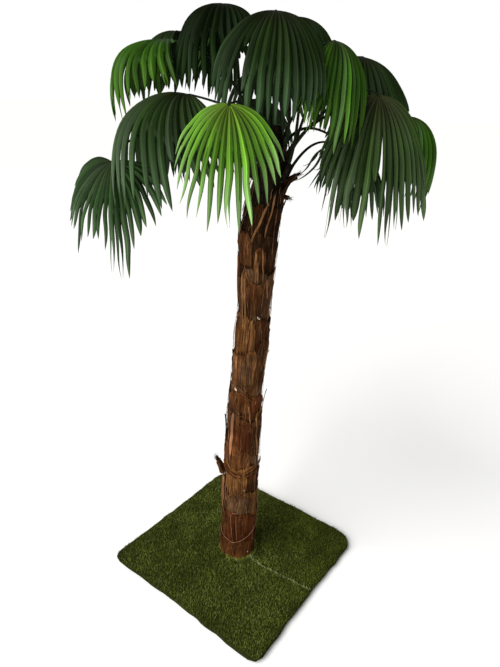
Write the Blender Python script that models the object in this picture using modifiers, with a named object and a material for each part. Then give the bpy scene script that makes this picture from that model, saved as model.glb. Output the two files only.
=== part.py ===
"""Artificial fan palm, 1.8 m tall, standing on a thin board that is covered with artificial turf.

A leaning fibre-wrapped trunk carries stalks in two tiers.  Each stalk ends in the hub of a fan leaf:
a thin blade whose fingers are joined near the hub, part further out and hang down under their own weight.
Lengths are in metres, angles in degrees, +Z is up, and the origin is under the middle of the board.
"""

import itertools
import math
import random
from dataclasses import dataclass

import bmesh
import bpy
from mathutils import Matrix, Vector
from mathutils.bvhtree import BVHTree

GAP = 0.0004            # clearance left between two pieces that touch

# Stand
BOARD_SIDE = 0.630
BOARD_THICKNESS = 0.012
BOARD_CORNER = 0.030
TURF_SIDE = 0.664
TURF_THICKNESS = 0.010  # backing with the pile, up to about half the length of its blades
TURF_CORNER = 0.036
TURF_HOLE = 0.070       # radius of the opening round the trunk's foot
TURF_HOLE_SIDES = 24
CUTTER_HEIGHT = 0.1
SLIT_WIDTH = 0.003
SLIT_ROUTE = ((0.020, 0.000), (0.130, -0.012), (0.350, 0.013))   # from the opening to past the +X edge
CORNER_SEGMENTS = 5

# Trunk: height above the board, radius, and sideways lean at that height
LEAN_HEADING = 36.0
TRUNK_PROFILE = (
    (0.000, 0.0650, 0.000),
    (0.060, 0.0620, 0.000),
    (0.250, 0.0595, 0.000),
    (0.560, 0.0580, 0.000),
    (0.680, 0.0535, 0.003),
    (0.770, 0.0500, 0.006),
    (0.900, 0.0535, 0.012),
    (0.980, 0.0485, 0.016),
    (1.100, 0.0520, 0.016),
    (1.250, 0.0580, 0.018),
    (1.330, 0.0500, 0.029),
    (1.420, 0.0400, 0.041),
    (1.480, 0.0300, 0.046),
    (1.525, 0.0150, 0.049),
)
TRUNK_SIDES = 16

# Crown
CROWN_AXIS = (0.035, 0.025)   # where the trunk's leaning top is, seen from above
STALK_TIERS = (1.405, 1.455)  # heights at which the stalks leave the trunk
STALK_FOOT_RADIUS = 0.0052
STALK_TIP_RADIUS = 0.0026
STALK_RISES = (62.0, 52.0, 42.0, 72.0, 32.0)     # slopes to try where a stalk leaves the trunk
STALK_LIFTS = (0.0, -15.0, 15.0, -30.0, 30.0)    # changes to try to the slope where it arrives
FAN_GAP_MARGIN = 146.0        # half a turn less the room that a stalk needs beside the fan's edges
STALK_POINTS = 9
STALK_SIDES = 6
STALK_FOOT_PULL = 0.42         # share of its span over which a stalk follows its slope at the trunk
STALK_HUB_PULL = 0.36          # and its slope at the hub
TUFT_SIDES = 8
TUFT_TAPER = 0.7               # share of its radius that a tuft loses along its length

# Blades
HUB_RADIUS = 0.0090           # the fan starts this far from the end of its stalk
FINGER_ANGLE = 11.5           # about one finger for every so many degrees of the fan
JOINED_SHARE = 0.42           # the part of a blade's length over which its fingers are one sheet
SIDE_SHORTENING = 0.30        # how much shorter the outermost fingers are than the middle one
BLADE_THICKNESS = 0.0044
FINGER_TAPER = 2.4            # high values keep a finger wide for longer before its point
RAY_STEPS = 40
JOINED_ROWS = 2
FREE_ROWS = 3
BLADE_SEED = 41
CLEARANCE = 0.0012            # kept between the fingers of different leaves
ROOT_SHARE = 0.12             # a finger's clearance is tested from this far beyond its notch
SHARED_EDGE = 1e-5            # points nearer than this are one
SWAYS = (0.0, 4.0, -4.0, 8.0, -8.0)
SHORTENINGS = (1.0, 0.9, 0.8, 0.7, 0.6, 0.5, 0.4, 0.3, 0.2)


@dataclass(frozen=True)
class Finish:
    """Colour, roughness and metallic value of one kind of piece."""

    name: str
    colour: tuple
    roughness: float
    metallic: float = 0.0


BOARD_WOOD = Finish("board_wood", (0.055, 0.040, 0.028), 0.75)
TURF_GREEN = Finish("turf_green", (0.030, 0.070, 0.014), 0.80)
TRUNK_FIBRE = Finish("trunk_fibre", (0.120, 0.062, 0.036), 0.85)
TUFT_FIBRE = Finish("tuft_fibre", (0.150, 0.085, 0.050), 0.90)
STALK_GREEN = Finish("stalk_green", (0.020, 0.035, 0.014), 0.55)
BRIGHT_LEAF = Finish("bright_leaf", (0.130, 0.330, 0.030), 0.45)
FRESH_LEAF = Finish("fresh_leaf", (0.075, 0.210, 0.022), 0.45)
DARK_LEAF = Finish("dark_leaf", (0.026, 0.070, 0.026), 0.45)
OLIVE_LEAF = Finish("olive_leaf", (0.045, 0.075, 0.028), 0.50)


@dataclass(frozen=True)
class Frond:
    """Place and hang of one fan leaf.  Headings and bearings are angles from +X, seen from above."""

    bearing: float          # from the crown's axis to the hub
    reach: float            # from the crown's axis to the hub
    height: float           # of the hub above the ground
    heading: float          # of the blade's middle finger as it leaves the hub
    tilt: float             # rise of the blade's middle finger as it leaves the hub
    length: float           # of the blade's longest finger, from the hub
    spread: float           # angle that the fan opens to
    droop: float            # how strongly the fingers turn down along their length
    finish: Finish
    lag: float = 1.0        # above 1 the blade stays level for longer and then turns down faster
    pull_heading: float = 0.0
    pull: float = 0.0       # sideways share of the direction that the fingers turn to
    arrival: float = 0.0    # rise of the stalk as it reaches the hub


FRONDS = (
    Frond(286, 0.319, 1.589, 304, -40, 0.287, 238, 2.5, BRIGHT_LEAF, lag=0.7, arrival=-15),
    Frond(299, 0.121, 1.794, 311, -7, 0.344, 230, 3.6, DARK_LEAF, lag=1.12, pull_heading=226, pull=0.07,
          arrival=10),
    Frond(29, 0.270, 1.624, 305, -23, 0.420, 228, 3.2, OLIVE_LEAF, lag=0.82),
    Frond(228, 0.232, 1.604, 235, 11, 0.425, 204, 2.8, DARK_LEAF, pull_heading=39, pull=0.42, arrival=10),
    Frond(188, 0.171, 1.827, 268, 0, 0.304, 215, 4.4, DARK_LEAF, lag=1.36, arrival=15),
    Frond(190, 0.334, 1.741, 228, -2, 0.348, 184, 4.2, FRESH_LEAF, lag=1.96, pull_heading=36, pull=0.28,
          arrival=5),
    Frond(12, 0.150, 1.743, 346, -9, 0.320, 151, 3.5, FRESH_LEAF, lag=0.92, pull_heading=218, pull=0.18,
          arrival=10),
    Frond(222, 0.439, 1.426, 284, -46, 0.286, 229, 2.5, DARK_LEAF, lag=1.14, arrival=-62),
    Frond(74, 0.324, 1.727, 6, -10, 0.352, 243, 3.15, DARK_LEAF, lag=1.15, pull_heading=5, pull=0.16),
    Frond(61, 0.446, 1.573, 27, 2, 0.325, 188, 4.1, FRESH_LEAF, lag=1.06, pull_heading=190, pull=0.21,
          arrival=-10),
    Frond(60, 0.204, 1.489, 26, -8, 0.200, 276, 2.2, DARK_LEAF, arrival=-5),
    Frond(170, 0.444, 1.780, 196, 5, 0.280, 220, 3.2, DARK_LEAF, arrival=5),
    Frond(98, 0.101, 1.807, 16, 3, 0.300, 220, 3.2, DARK_LEAF, arrival=20),
    Frond(178, 0.328, 1.553, 206, 0, 0.320, 220, 3.2, DARK_LEAF, pull_heading=36, pull=0.20, arrival=-10),
    Frond(130, 0.250, 1.699, 123, 5, 0.295, 215, 3.0, DARK_LEAF, arrival=5),
    Frond(150, 0.396, 1.790, 158, 5, 0.275, 219, 3.2, FRESH_LEAF, arrival=5),
    Frond(94, 0.436, 1.692, 94, 0, 0.300, 220, 3.2, FRESH_LEAF),
    Frond(155, 0.440, 1.550, 166, -5, 0.270, 220, 3.2, DARK_LEAF, arrival=-15),
    Frond(133, 0.441, 1.598, 137, -10, 0.305, 216, 3.0, DARK_LEAF, arrival=-10),
    Frond(84, 0.410, 1.450, 84, -8, 0.280, 216, 3.0, DARK_LEAF, arrival=-25),
)


@dataclass(frozen=True)
class Tuft:
    """A frayed stub of fibre that stands out of the trunk."""

    name: str
    height: float
    heading: float
    rise: float
    length: float
    radius: float


TUFTS = (
    Tuft("fibre_tuft_upper", 1.388, 36, 32, 0.046, 0.0080),
    Tuft("fibre_tuft_middle", 1.347, 36, -12, 0.020, 0.0060),
    Tuft("fibre_tuft_lower", 0.385, 216, 64, 0.050, 0.0080),
)


def heading_vector(heading, rise=0.0):
    """Unit vector with the given angle from +X seen from above, and the given rise above the horizontal."""
    level = math.cos(math.radians(rise))
    angle = math.radians(heading)
    return Vector((level * math.cos(angle), level * math.sin(angle), math.sin(math.radians(rise))))


def interpolate(table, height, column):
    """Value of one column of a table of rows that start with a height."""
    for low, high in zip(table, table[1:]):
        if height <= high[0]:
            share = (height - low[0]) / (high[0] - low[0])
            return low[column] + (high[column] - low[column]) * share
    return table[-1][column]


def trunk_centre(height):
    """Centre of the leaning trunk at a height above the ground."""
    lean = interpolate(TRUNK_PROFILE, height - BOARD_THICKNESS, 2)
    return heading_vector(LEAN_HEADING) * lean + Vector((0.0, 0.0, height))


def trunk_radius(height):
    """Radius of the trunk at a height above the ground."""
    return interpolate(TRUNK_PROFILE, height - BOARD_THICKNESS, 1)


def trunk_line():
    """Centre line and radii of the trunk, from its flat foot on the board to its tip."""
    heights = [row[0] + BOARD_THICKNESS for row in TRUNK_PROFILE]
    lift = Vector((0.0, 0.0, GAP))
    return [trunk_centre(height) + lift for height in heights], [row[1] for row in TRUNK_PROFILE]


# ---------------------------------------------------------------- blade rule


def turned(direction, pull, amount):
    """Direction swung towards the pull; amount 0 leaves it as it is and a large amount reaches the pull."""
    angle = direction.angle(pull)
    aside = (direction - pull * direction.dot(pull)).normalized()
    left = 2.0 * math.atan(math.tan(angle / 2.0) * math.exp(-amount))
    return pull * math.cos(left) + aside * math.sin(left)


class Fan:
    """The hanging surface of one fan leaf, worked out from its frond's sizes."""

    def __init__(self, frond, number):
        self.frond = frond
        self.hub = hub_of(frond)
        self.forward = heading_vector(frond.heading, frond.tilt)
        self.across = heading_vector(frond.heading + 90.0)
        self.pull = (heading_vector(frond.pull_heading) * frond.pull - Vector((0.0, 0.0, 1.0))).normalized()
        self.count = round(frond.spread / FINGER_ANGLE)
        self.step = math.radians(frond.spread) / self.count
        self.rays = {}
        dice = random.Random(BLADE_SEED + number)
        self.lengths = [dice.uniform(0.93, 1.03) for _ in range(self.count)]
        self.slacks = [dice.uniform(-0.10, 0.14) for _ in range(self.count)]

    def edge_angle(self, index):
        """Fan angle of the edge before finger number index; the middle of the fan is at 0."""
        return (index - self.count / 2.0) * self.step

    def reach(self, angle):
        """Length of the blade along a fan angle."""
        side = 2.0 * angle / math.radians(self.frond.spread)
        return self.frond.length * (1.0 - SIDE_SHORTENING * side * side)

    def ray(self, angle, sway=0.0, slack=0.0):
        """Points at even steps along the blade's length; sway and slack act past the joined part."""
        key = (angle, sway, slack)
        if key in self.rays:
            return self.rays[key]
        step = self.frond.length / RAY_STEPS
        points = [self.hub.copy()]
        for index in range(RAY_STEPS):
            share = (index + 0.5) / RAY_STEPS
            free = max(0.0, (share - JOINED_SHARE) / (1.0 - JOINED_SHARE))
            turn = angle + math.radians(sway) * free
            start = self.forward * math.cos(turn) + self.across * math.sin(turn)
            amount = self.frond.droop * share ** self.frond.lag * (1.0 + slack * free)
            points.append(points[-1] + turned(start, self.pull, amount) * step)
        self.rays[key] = points
        return points

    def at(self, angle, distance, sway=0.0, slack=0.0):
        """Point at a distance from the hub along a fan angle."""
        points = self.ray(angle, sway, slack)
        place = min(distance / self.frond.length * RAY_STEPS, RAY_STEPS - 1e-6)
        index = int(place)
        return points[index].lerp(points[index + 1], place - index)

    def add_sheet(self, crowd):
        """Puts the joined part of the blade among what is in place."""
        for index in range(self.count):
            crowd.add(*strip_solid(self.finger_rows(index, 0.0, 0.0), BLADE_THICKNESS / 2.0))

    def finger_rows(self, index, sway, shortening, extra=0.0):
        """Left and right edge points of one finger, row by row from the hub to its tip."""
        left, right = self.edge_angle(index), self.edge_angle(index + 1)
        middle = (left + right) / 2.0
        rows = []
        for row in range(JOINED_ROWS + 1):
            share = row / JOINED_ROWS
            pair = []
            for angle in (left, right):
                joined = self.reach(angle) * JOINED_SHARE
                pair.append(self.at(angle, HUB_RADIUS + (joined - HUB_RADIUS) * share))
            rows.append(pair)
        if shortening <= 0.0:
            return rows
        joined = self.reach(middle) * JOINED_SHARE
        free_length = (self.reach(middle) * self.lengths[index] - joined) * shortening
        slack = self.slacks[index]
        width = (rows[-1][1] - rows[-1][0]).length
        for row in range(1, FREE_ROWS + 1):
            share = row / FREE_ROWS
            distance = joined + free_length * share
            centre = self.at(middle, distance, sway, slack)
            spanned = self.at(right, distance) - self.at(left, distance)
            half = spanned.normalized() * (0.5 * width * (1.0 - share ** FINGER_TAPER) + extra)
            rows.append([centre - half, centre + half])
        return rows


def hub_of(frond):
    """Place of a frond's hub."""
    aside = heading_vector(frond.bearing) * frond.reach
    return Vector((CROWN_AXIS[0] + aside.x, CROWN_AXIS[1] + aside.y, frond.height))


def strip_solid(rows, half_thickness):
    """Vertices and faces of a strip between two edges, thickened both ways; used to test for contact."""
    vertices, faces = [], []
    for number, (left, right) in enumerate(rows):
        before = rows[max(number - 1, 0)]
        after = rows[min(number + 1, len(rows) - 1)]
        along = (after[0] + after[1]) - (before[0] + before[1])
        normal = along.cross(before[1] - before[0] + after[1] - after[0]).normalized() * half_thickness
        vertices += [left + normal, right + normal, right - normal, left - normal]
    for number in range(len(rows) - 1):
        base = 4 * number
        for corner in range(4):
            following = (corner + 1) % 4
            faces.append((base + corner, base + following, base + following + 4, base + corner + 4))
    faces.append((0, 1, 2, 3))
    faces.append(tuple(4 * (len(rows) - 1) + corner for corner in range(4)))
    return vertices, faces


def tube_solid(points, radii, sides=8):
    """Vertices and faces of a tube along points; used to test for contact."""
    vertices, faces = [], []
    first = Vector((1.0, 0.0, 0.0))
    for number, (point, radius) in enumerate(zip(points, radii)):
        along = (points[min(number + 1, len(points) - 1)] - points[max(number - 1, 0)]).normalized()
        first = (first - along * first.dot(along)).normalized()
        second = along.cross(first)
        for side in range(sides):
            angle = math.tau * side / sides
            vertices.append(point + (first * math.cos(angle) + second * math.sin(angle)) * radius)
    for number in range(len(points) - 1):
        for side in range(sides):
            a, b = number * sides + side, number * sides + (side + 1) % sides
            faces.append((a, b, b + sides, a + sides))
    return vertices, faces


class Crowd:
    """Everything that is already in place in the crown, for finding out what a new finger would touch."""

    def __init__(self):
        self.vertices = []
        self.faces = []
        self.tree = None

    def add(self, vertices, faces):
        """Puts one more solid among those in place."""
        first = len(self.vertices)
        self.vertices += vertices
        self.faces += [tuple(first + corner for corner in face) for face in faces]

    def settle(self):
        """Prepares the search over what has been added."""
        self.tree = BVHTree.FromPolygons(self.vertices, self.faces)

    def touches(self, vertices, faces):
        """Whether a solid would touch anything in place."""
        return bool(BVHTree.FromPolygons(vertices, faces).overlap(self.tree))


def arrival_heading(frond):
    """Heading of the stalk at the hub: its bearing, as far as the gap at the back of the fan lets it in."""
    most = FAN_GAP_MARGIN - frond.spread / 2.0
    off = (frond.bearing - frond.heading + 180.0) % 360.0 - 180.0
    return frond.heading + max(-most, min(most, off))


def stalk_points(frond, slot, rise, lift):
    """Centre line of a stalk, from the trunk's side to the hub, as a cubic curve."""
    tier = STALK_TIERS[slot % len(STALK_TIERS)]
    heading = 360.0 * slot / len(FRONDS)
    clear = trunk_radius(tier) + STALK_FOOT_RADIUS * math.sin(math.radians(rise)) + 4.0 * GAP
    start = trunk_centre(tier) + heading_vector(heading) * clear
    end = hub_of(frond)
    span = (end - start).length
    first = start + heading_vector(heading, rise) * span * STALK_FOOT_PULL
    second = end - heading_vector(arrival_heading(frond), frond.arrival + lift) * span * STALK_HUB_PULL
    points = []
    for index in range(STALK_POINTS):
        t = index / (STALK_POINTS - 1)
        u = 1.0 - t
        points.append(start * u ** 3 + first * 3 * u * u * t + second * 3 * u * t * t + end * t ** 3)
    return points


def tuft_line(tuft):
    """Centre line and radii of a tuft, from just clear of the trunk to its thin end."""
    along = heading_vector(tuft.heading, tuft.rise)
    clear = trunk_radius(tuft.height) + tuft.radius * abs(math.sin(math.radians(tuft.rise))) + 3.0 * GAP
    start = trunk_centre(tuft.height) + heading_vector(tuft.heading) * clear
    shares = (0.0, 0.5, 1.0)
    points = [start + along * tuft.length * share for share in shares]
    return points, [tuft.radius * (1.0 - TUFT_TAPER * share) for share in shares]


def stalk_radii():
    """Radius of a stalk at each of its points."""
    taper = (STALK_FOOT_RADIUS - STALK_TIP_RADIUS) / (STALK_POINTS - 1)
    return [STALK_FOOT_RADIUS - taper * index for index in range(STALK_POINTS)]


def stalk_slots():
    """Turn of each frond's stalk round the trunk: the same order as the bearings, evenly spaced."""
    order = sorted(range(len(FRONDS)), key=lambda number: FRONDS[number].bearing)
    return {number: slot for slot, number in enumerate(order)}


def plan_stalks(fans):
    """Centre line of each stalk: the first slope that keeps it clear of the others and of the blades."""
    slots = stalk_slots()
    radii = [radius + CLEARANCE for radius in stalk_radii()]
    crowd = Crowd()
    for fan in fans:
        fan.add_sheet(crowd)
    lines = []
    for number, frond in enumerate(FRONDS):
        crowd.settle()
        for lift, rise in itertools.product(STALK_LIFTS, STALK_RISES):
            line = stalk_points(frond, slots[number], rise, lift)
            if not crowd.touches(*tube_solid(line, radii)):
                break
        else:
            raise ValueError(f"stalk {number + 1} has no clear way to its hub")
        crowd.add(*tube_solid(line, stalk_radii()))
        lines.append(line)
    return lines


def plan_crown():
    """Fans, the sway and the length of each of their fingers, and stalks, chosen so that nothing touches."""
    fans = [Fan(frond, number) for number, frond in enumerate(FRONDS)]
    stalks = plan_stalks(fans)
    crowd = Crowd()
    for points in stalks:
        crowd.add(*tube_solid(points, stalk_radii()))
    for tuft in TUFTS:
        crowd.add(*tube_solid(*tuft_line(tuft)))
    crowd.add(*tube_solid(*trunk_line(), TRUNK_SIDES))
    for fan in fans:
        fan.add_sheet(crowd)
    plans = []
    for fan in fans:
        crowd.settle()
        plan = [clear_finger(fan, index, crowd) for index in range(fan.count)]
        for index, (sway, shortening) in enumerate(plan):
            if shortening > 0.0:
                free_rows = fan.finger_rows(index, sway, shortening)[JOINED_ROWS:]
                crowd.add(*strip_solid(free_rows, BLADE_THICKNESS / 2.0))
        plans.append(plan)
    return fans, plans, stalks


def clear_finger(fan, index, crowd):
    """Sway and length share of the longest form of a finger that touches nothing in place."""
    for shortening in SHORTENINGS:
        for sway in SWAYS:
            rows = fan.finger_rows(index, sway, shortening, CLEARANCE)[JOINED_ROWS:]
            rows[0] = [notch.lerp(beyond, ROOT_SHARE) for notch, beyond in zip(rows[0], rows[1])]
            if not crowd.touches(*strip_solid(rows, BLADE_THICKNESS / 2.0 + CLEARANCE)):
                return sway, shortening
    return 0.0, 0.0


# ---------------------------------------------------------------- pieces


def clear_scene():
    """Removes the objects that the file starts with."""
    for item in list(bpy.data.objects):
        bpy.data.objects.remove(item, do_unlink=True)


def new_collection(name):
    """A collection in the scene."""
    collection = bpy.data.collections.new(name)
    bpy.context.scene.collection.children.link(collection)
    return collection


def paint(item, finish):
    """Gives an object its own Principled material."""
    material = bpy.data.materials.new(f"{item.name}_{finish.name}")
    material.use_nodes = True
    shader = material.node_tree.nodes["Principled BSDF"]
    shader.inputs["Base Color"].default_value = (*finish.colour, 1.0)
    shader.inputs["Roughness"].default_value = finish.roughness
    shader.inputs["Metallic"].default_value = finish.metallic
    item.data.materials.append(material)


def mesh_object(name, mesh, collection, finish=None):
    """An object for a bmesh, which is freed."""
    data = bpy.data.meshes.new(name)
    mesh.to_mesh(data)
    mesh.free()
    item = bpy.data.objects.new(name, data)
    collection.objects.link(item)
    if finish:
        paint(item, finish)
    return item


def slab(name, side, thickness, corner, collection, finish=None):
    """A square slab on z 0 with rounded corners."""
    mesh = bmesh.new()
    bmesh.ops.create_cube(mesh, size=1.0)
    bmesh.ops.scale(mesh, vec=(side, side, thickness), verts=mesh.verts)
    bmesh.ops.translate(mesh, vec=(0.0, 0.0, thickness / 2.0), verts=mesh.verts)
    upright = [edge for edge in mesh.edges if abs(edge.verts[0].co.z - edge.verts[1].co.z) > thickness / 2.0]
    bmesh.ops.bevel(mesh, geom=upright, offset=corner, offset_type="OFFSET", affect="EDGES",
                    segments=CORNER_SEGMENTS, profile=0.5, material=-1)
    return mesh_object(name, mesh, collection, finish)


def cut(item, cutter):
    """Subtracts a cutter, which stays as a guide that is not rendered."""
    cutter.hide_render = True
    cutter.display_type = "WIRE"
    modifier = item.modifiers.new(f"cut_{cutter.name}", "BOOLEAN")
    modifier.operation = "DIFFERENCE"
    modifier.object = cutter


def build_board(collection):
    """The board that the palm stands on."""
    slab("base_board", BOARD_SIDE, BOARD_THICKNESS, BOARD_CORNER, collection, BOARD_WOOD)


def build_turf(collection, cutters):
    """The turf sheet on the board, with its opening for the trunk and the slit that leads to it."""
    turf = slab("turf_cover", TURF_SIDE, TURF_THICKNESS, TURF_CORNER, collection, TURF_GREEN)
    turf.location.z = BOARD_THICKNESS + GAP
    hole = bmesh.new()
    bmesh.ops.create_cone(hole, cap_ends=True, segments=TURF_HOLE_SIDES, radius1=TURF_HOLE, radius2=TURF_HOLE,
                          depth=CUTTER_HEIGHT)
    opening = mesh_object("turf_opening", hole, cutters)
    cut(turf, opening)
    for number, (start, stop) in enumerate(zip(SLIT_ROUTE, SLIT_ROUTE[1:]), start=1):
        cut(turf, slit_cutter(f"turf_slit_{number}", Vector((*start, 0.0)), Vector((*stop, 0.0)), cutters))


def slit_cutter(name, start, stop, cutters):
    """A thin upright box along one stretch of the slit."""
    box = bmesh.new()
    bmesh.ops.create_cube(box, size=1.0)
    run = stop - start
    bmesh.ops.scale(box, vec=(run.length + SLIT_WIDTH, SLIT_WIDTH, CUTTER_HEIGHT), verts=box.verts)
    turn = Matrix.Rotation(math.atan2(run.y, run.x), 4, "Z")
    bmesh.ops.transform(box, matrix=Matrix.Translation((start + stop) / 2.0) @ turn, verts=box.verts)
    return mesh_object(name, box, cutters)


def tube(name, points, radii, sides, collection, finish):
    """A tapered tube with closed ends and an even number of sides along a list of points."""
    curve = bpy.data.curves.new(name, "CURVE")
    curve.dimensions = "3D"
    curve.bevel_depth = 1.0
    curve.bevel_resolution = sides // 2 - 2
    curve.use_fill_caps = True
    line = curve.splines.new("POLY")
    line.points.add(len(points) - 1)
    for place, point, radius in zip(line.points, points, radii):
        place.co = (*point, 1.0)
        place.radius = radius
    item = bpy.data.objects.new(name, curve)
    collection.objects.link(item)
    paint(item, finish)
    return item


def build_trunk(collection):
    """The leaning trunk, from its flat foot on the board to the tip between the stalks."""
    points, radii = trunk_line()
    tube("trunk", points, radii, TRUNK_SIDES, collection, TRUNK_FIBRE)


def build_tufts(collection):
    """Frayed stubs of fibre on the trunk."""
    for tuft in TUFTS:
        points, radii = tuft_line(tuft)
        tube(tuft.name, points, radii, TUFT_SIDES, collection, TUFT_FIBRE)


def build_blade(name, fan, plan, collection):
    """One fan leaf: strips that share their edges up to the notches, then thickened."""
    mesh = bmesh.new()
    for index, (sway, shortening) in enumerate(plan):
        rows = fan.finger_rows(index, sway, shortening)
        grid = bmesh.ops.create_grid(mesh, x_segments=1, y_segments=len(rows) - 1, size=0.5)
        for vertex in grid["verts"]:
            row = round((vertex.co.y + 0.5) * (len(rows) - 1))
            vertex.co = rows[row][1 if vertex.co.x > 0.0 else 0]
    bmesh.ops.remove_doubles(mesh, verts=mesh.verts, dist=SHARED_EDGE)
    item = mesh_object(name, mesh, collection, fan.frond.finish)
    shell = item.modifiers.new("thickness", "SOLIDIFY")
    shell.thickness = BLADE_THICKNESS
    shell.offset = 0.0


def build_crown(collection):
    """The stalks and the fan leaves at their ends."""
    fans, plans, stalks = plan_crown()
    for number, (fan, plan, points) in enumerate(zip(fans, plans, stalks), start=1):
        tube(f"stalk_{number:02d}", points, stalk_radii(), STALK_SIDES, collection, STALK_GREEN)
        build_blade(f"frond_{number:02d}", fan, plan, collection)


def main():
    """Builds the whole palm."""
    clear_scene()
    palm = new_collection("fan_palm_on_turf_board")
    cutters = new_collection("cutters")
    build_board(palm)
    build_turf(palm, cutters)
    build_trunk(palm)
    build_tufts(palm)
    build_crown(palm)


main()
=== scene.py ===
"""Looks of an artificial fan palm that stands on a thin board covered with artificial turf.

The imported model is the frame.  Each piece built here stands for one of its nodes or dresses it, in the
same place: lengths are in metres, angles in degrees, +Z is up, and the origin is under the middle of the
board.  Headings are angles from +X, seen from above.
"""

import itertools
import logging
import math
import random
from collections.abc import Callable, Sequence
from dataclasses import dataclass, field
from enum import Enum
from functools import cache

import bmesh
import bpy
import numpy as np
from mathutils import Matrix, Vector, noise
from mathutils.bvhtree import BVHTree


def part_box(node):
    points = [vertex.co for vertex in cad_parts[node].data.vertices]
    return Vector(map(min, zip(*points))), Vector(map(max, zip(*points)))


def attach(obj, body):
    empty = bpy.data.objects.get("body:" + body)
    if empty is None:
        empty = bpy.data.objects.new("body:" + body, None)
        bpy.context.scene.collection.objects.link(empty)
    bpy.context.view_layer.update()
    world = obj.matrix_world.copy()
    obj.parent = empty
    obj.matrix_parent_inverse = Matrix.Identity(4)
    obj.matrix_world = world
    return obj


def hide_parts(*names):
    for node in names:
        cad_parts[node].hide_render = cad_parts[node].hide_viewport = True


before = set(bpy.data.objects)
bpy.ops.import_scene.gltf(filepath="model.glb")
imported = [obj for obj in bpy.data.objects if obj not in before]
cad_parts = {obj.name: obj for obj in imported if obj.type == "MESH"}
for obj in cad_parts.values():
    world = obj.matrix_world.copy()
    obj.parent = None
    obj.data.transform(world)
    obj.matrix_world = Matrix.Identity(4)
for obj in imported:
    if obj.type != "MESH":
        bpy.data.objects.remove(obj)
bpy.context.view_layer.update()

LOG = logging.getLogger("fan_palm")
Colour = tuple[float, float, float]
Solid = tuple[list[Vector], list[tuple[int, ...]]]
Span = tuple[float, float]
Plan = list[Span]
Mesh = bmesh.types.BMesh
Piece = bpy.types.Object
Material = bpy.types.Material
Node = bpy.types.Node
Socket = bpy.types.NodeSocket
Tree = bpy.types.NodeTree

BODY = "root"
GAP = 0.0004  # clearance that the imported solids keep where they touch
UP = Vector((0.0, 0.0, 1.0))

# Trunk: height above the board, radius, and sideways lean at that height
BOARD_TOP = 0.012
LEAN_HEADING = 36.0
TRUNK_PROFILE = (
    (0.000, 0.0650, 0.000),
    (0.060, 0.0620, 0.000),
    (0.250, 0.0595, 0.000),
    (0.560, 0.0580, 0.000),
    (0.680, 0.0535, 0.003),
    (0.770, 0.0500, 0.006),
    (0.900, 0.0535, 0.012),
    (0.980, 0.0485, 0.016),
    (1.100, 0.0520, 0.016),
    (1.250, 0.0580, 0.018),
    (1.330, 0.0500, 0.029),
    (1.420, 0.0400, 0.041),
    (1.480, 0.0300, 0.046),
    (1.525, 0.0150, 0.049),
)
TRUNK_SIDES = 16

# Crown
CROWN_AXIS = (0.035, 0.025)
STALK_TIERS = (1.405, 1.455)
STALK_FOOT_RADIUS = 0.0052
STALK_TIP_RADIUS = 0.0026
STALK_RISES = (62.0, 52.0, 42.0, 72.0, 32.0)
STALK_LIFTS = (0.0, -15.0, 15.0, -30.0, 30.0)
STALK_FOOT_PULL = 0.42
STALK_HUB_PULL = 0.36
STALK_POINTS = 9
FAN_GAP_MARGIN = 146.0
TUFT_TAPER = 0.7

# Blades
HUB_RADIUS = 0.0090
FINGER_ANGLE = 11.5
JOINED_SHARE = 0.42
SIDE_SHORTENING = 0.30
BLADE_END = 0.998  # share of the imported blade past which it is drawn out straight
BLADE_THICKNESS = 0.0044
FINGER_TAPER = 2.4
RAY_STEPS = 40
JOINED_ROWS = 2
FREE_ROWS = 3
BLADE_SEED = 41
FINGER_LENGTHS = (0.93, 1.03)
FINGER_SLACKS = (-0.10, 0.14)
CLEARANCE = 0.0012
ROOT_SHARE = 0.12
SHARED_EDGE = 1e-5  # points closer than this are one point
SWAYS = (0.0, 4.0, -4.0, 8.0, -8.0)
SHORTENINGS = (1.0, 0.9, 0.8, 0.7, 0.6, 0.5, 0.4, 0.3, 0.2)

# Hairs, and the number of patterns that a sheet's creases are drawn from
HAIR_RADIUS = 0.011  # for each unit of thickness
HAIR_TAPER = 0.85
HAIR_THICKNESS = 0.016
HAIR_SWEEP = 0.6  # how far a hair bends aside for each unit of length
PATTERNS = 50.0


# ---------------------------------------------------------------- geometry helpers


def heading_vector(heading: float, rise: float = 0.0) -> Vector:
    """Gives a direction.

    Args:
        heading: angle from +X seen from above.
        rise: angle above the horizontal.

    Returns:
        The unit vector.
    """
    level = math.cos(math.radians(rise))
    angle = math.radians(heading)
    return Vector((level * math.cos(angle), level * math.sin(angle), math.sin(math.radians(rise))))


def turn_to(first: float, second: float) -> float:
    """Smallest turn from one heading to another."""
    return (second - first + 180.0) % 360.0 - 180.0


def share_of(value: float, low: float, high: float) -> float:
    """How far a value is from low to high, kept between 0 and 1."""
    return min(1.0, max(0.0, (value - low) / (high - low)))


def smooth(value: float, low: float, high: float) -> float:
    """Rises gently from 0 at low to 1 at high."""
    share = share_of(value, low, high)
    return share * share * (3.0 - 2.0 * share)


@dataclass(frozen=True)
class Ripple:
    """Smooth unevenness: its size both ways, how often it turns along three coordinates, and its pattern."""

    size: float
    rates: tuple[float, float, float]
    pattern: float = 0.0

    def at(self, first: float, second: float, third: float = 0.0) -> float:
        """Its value at a place."""
        rates = self.rates
        place = Vector((rates[0] * first, rates[1] * second, rates[2] * third + self.pattern))
        return self.size * noise.noise(place)


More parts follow.
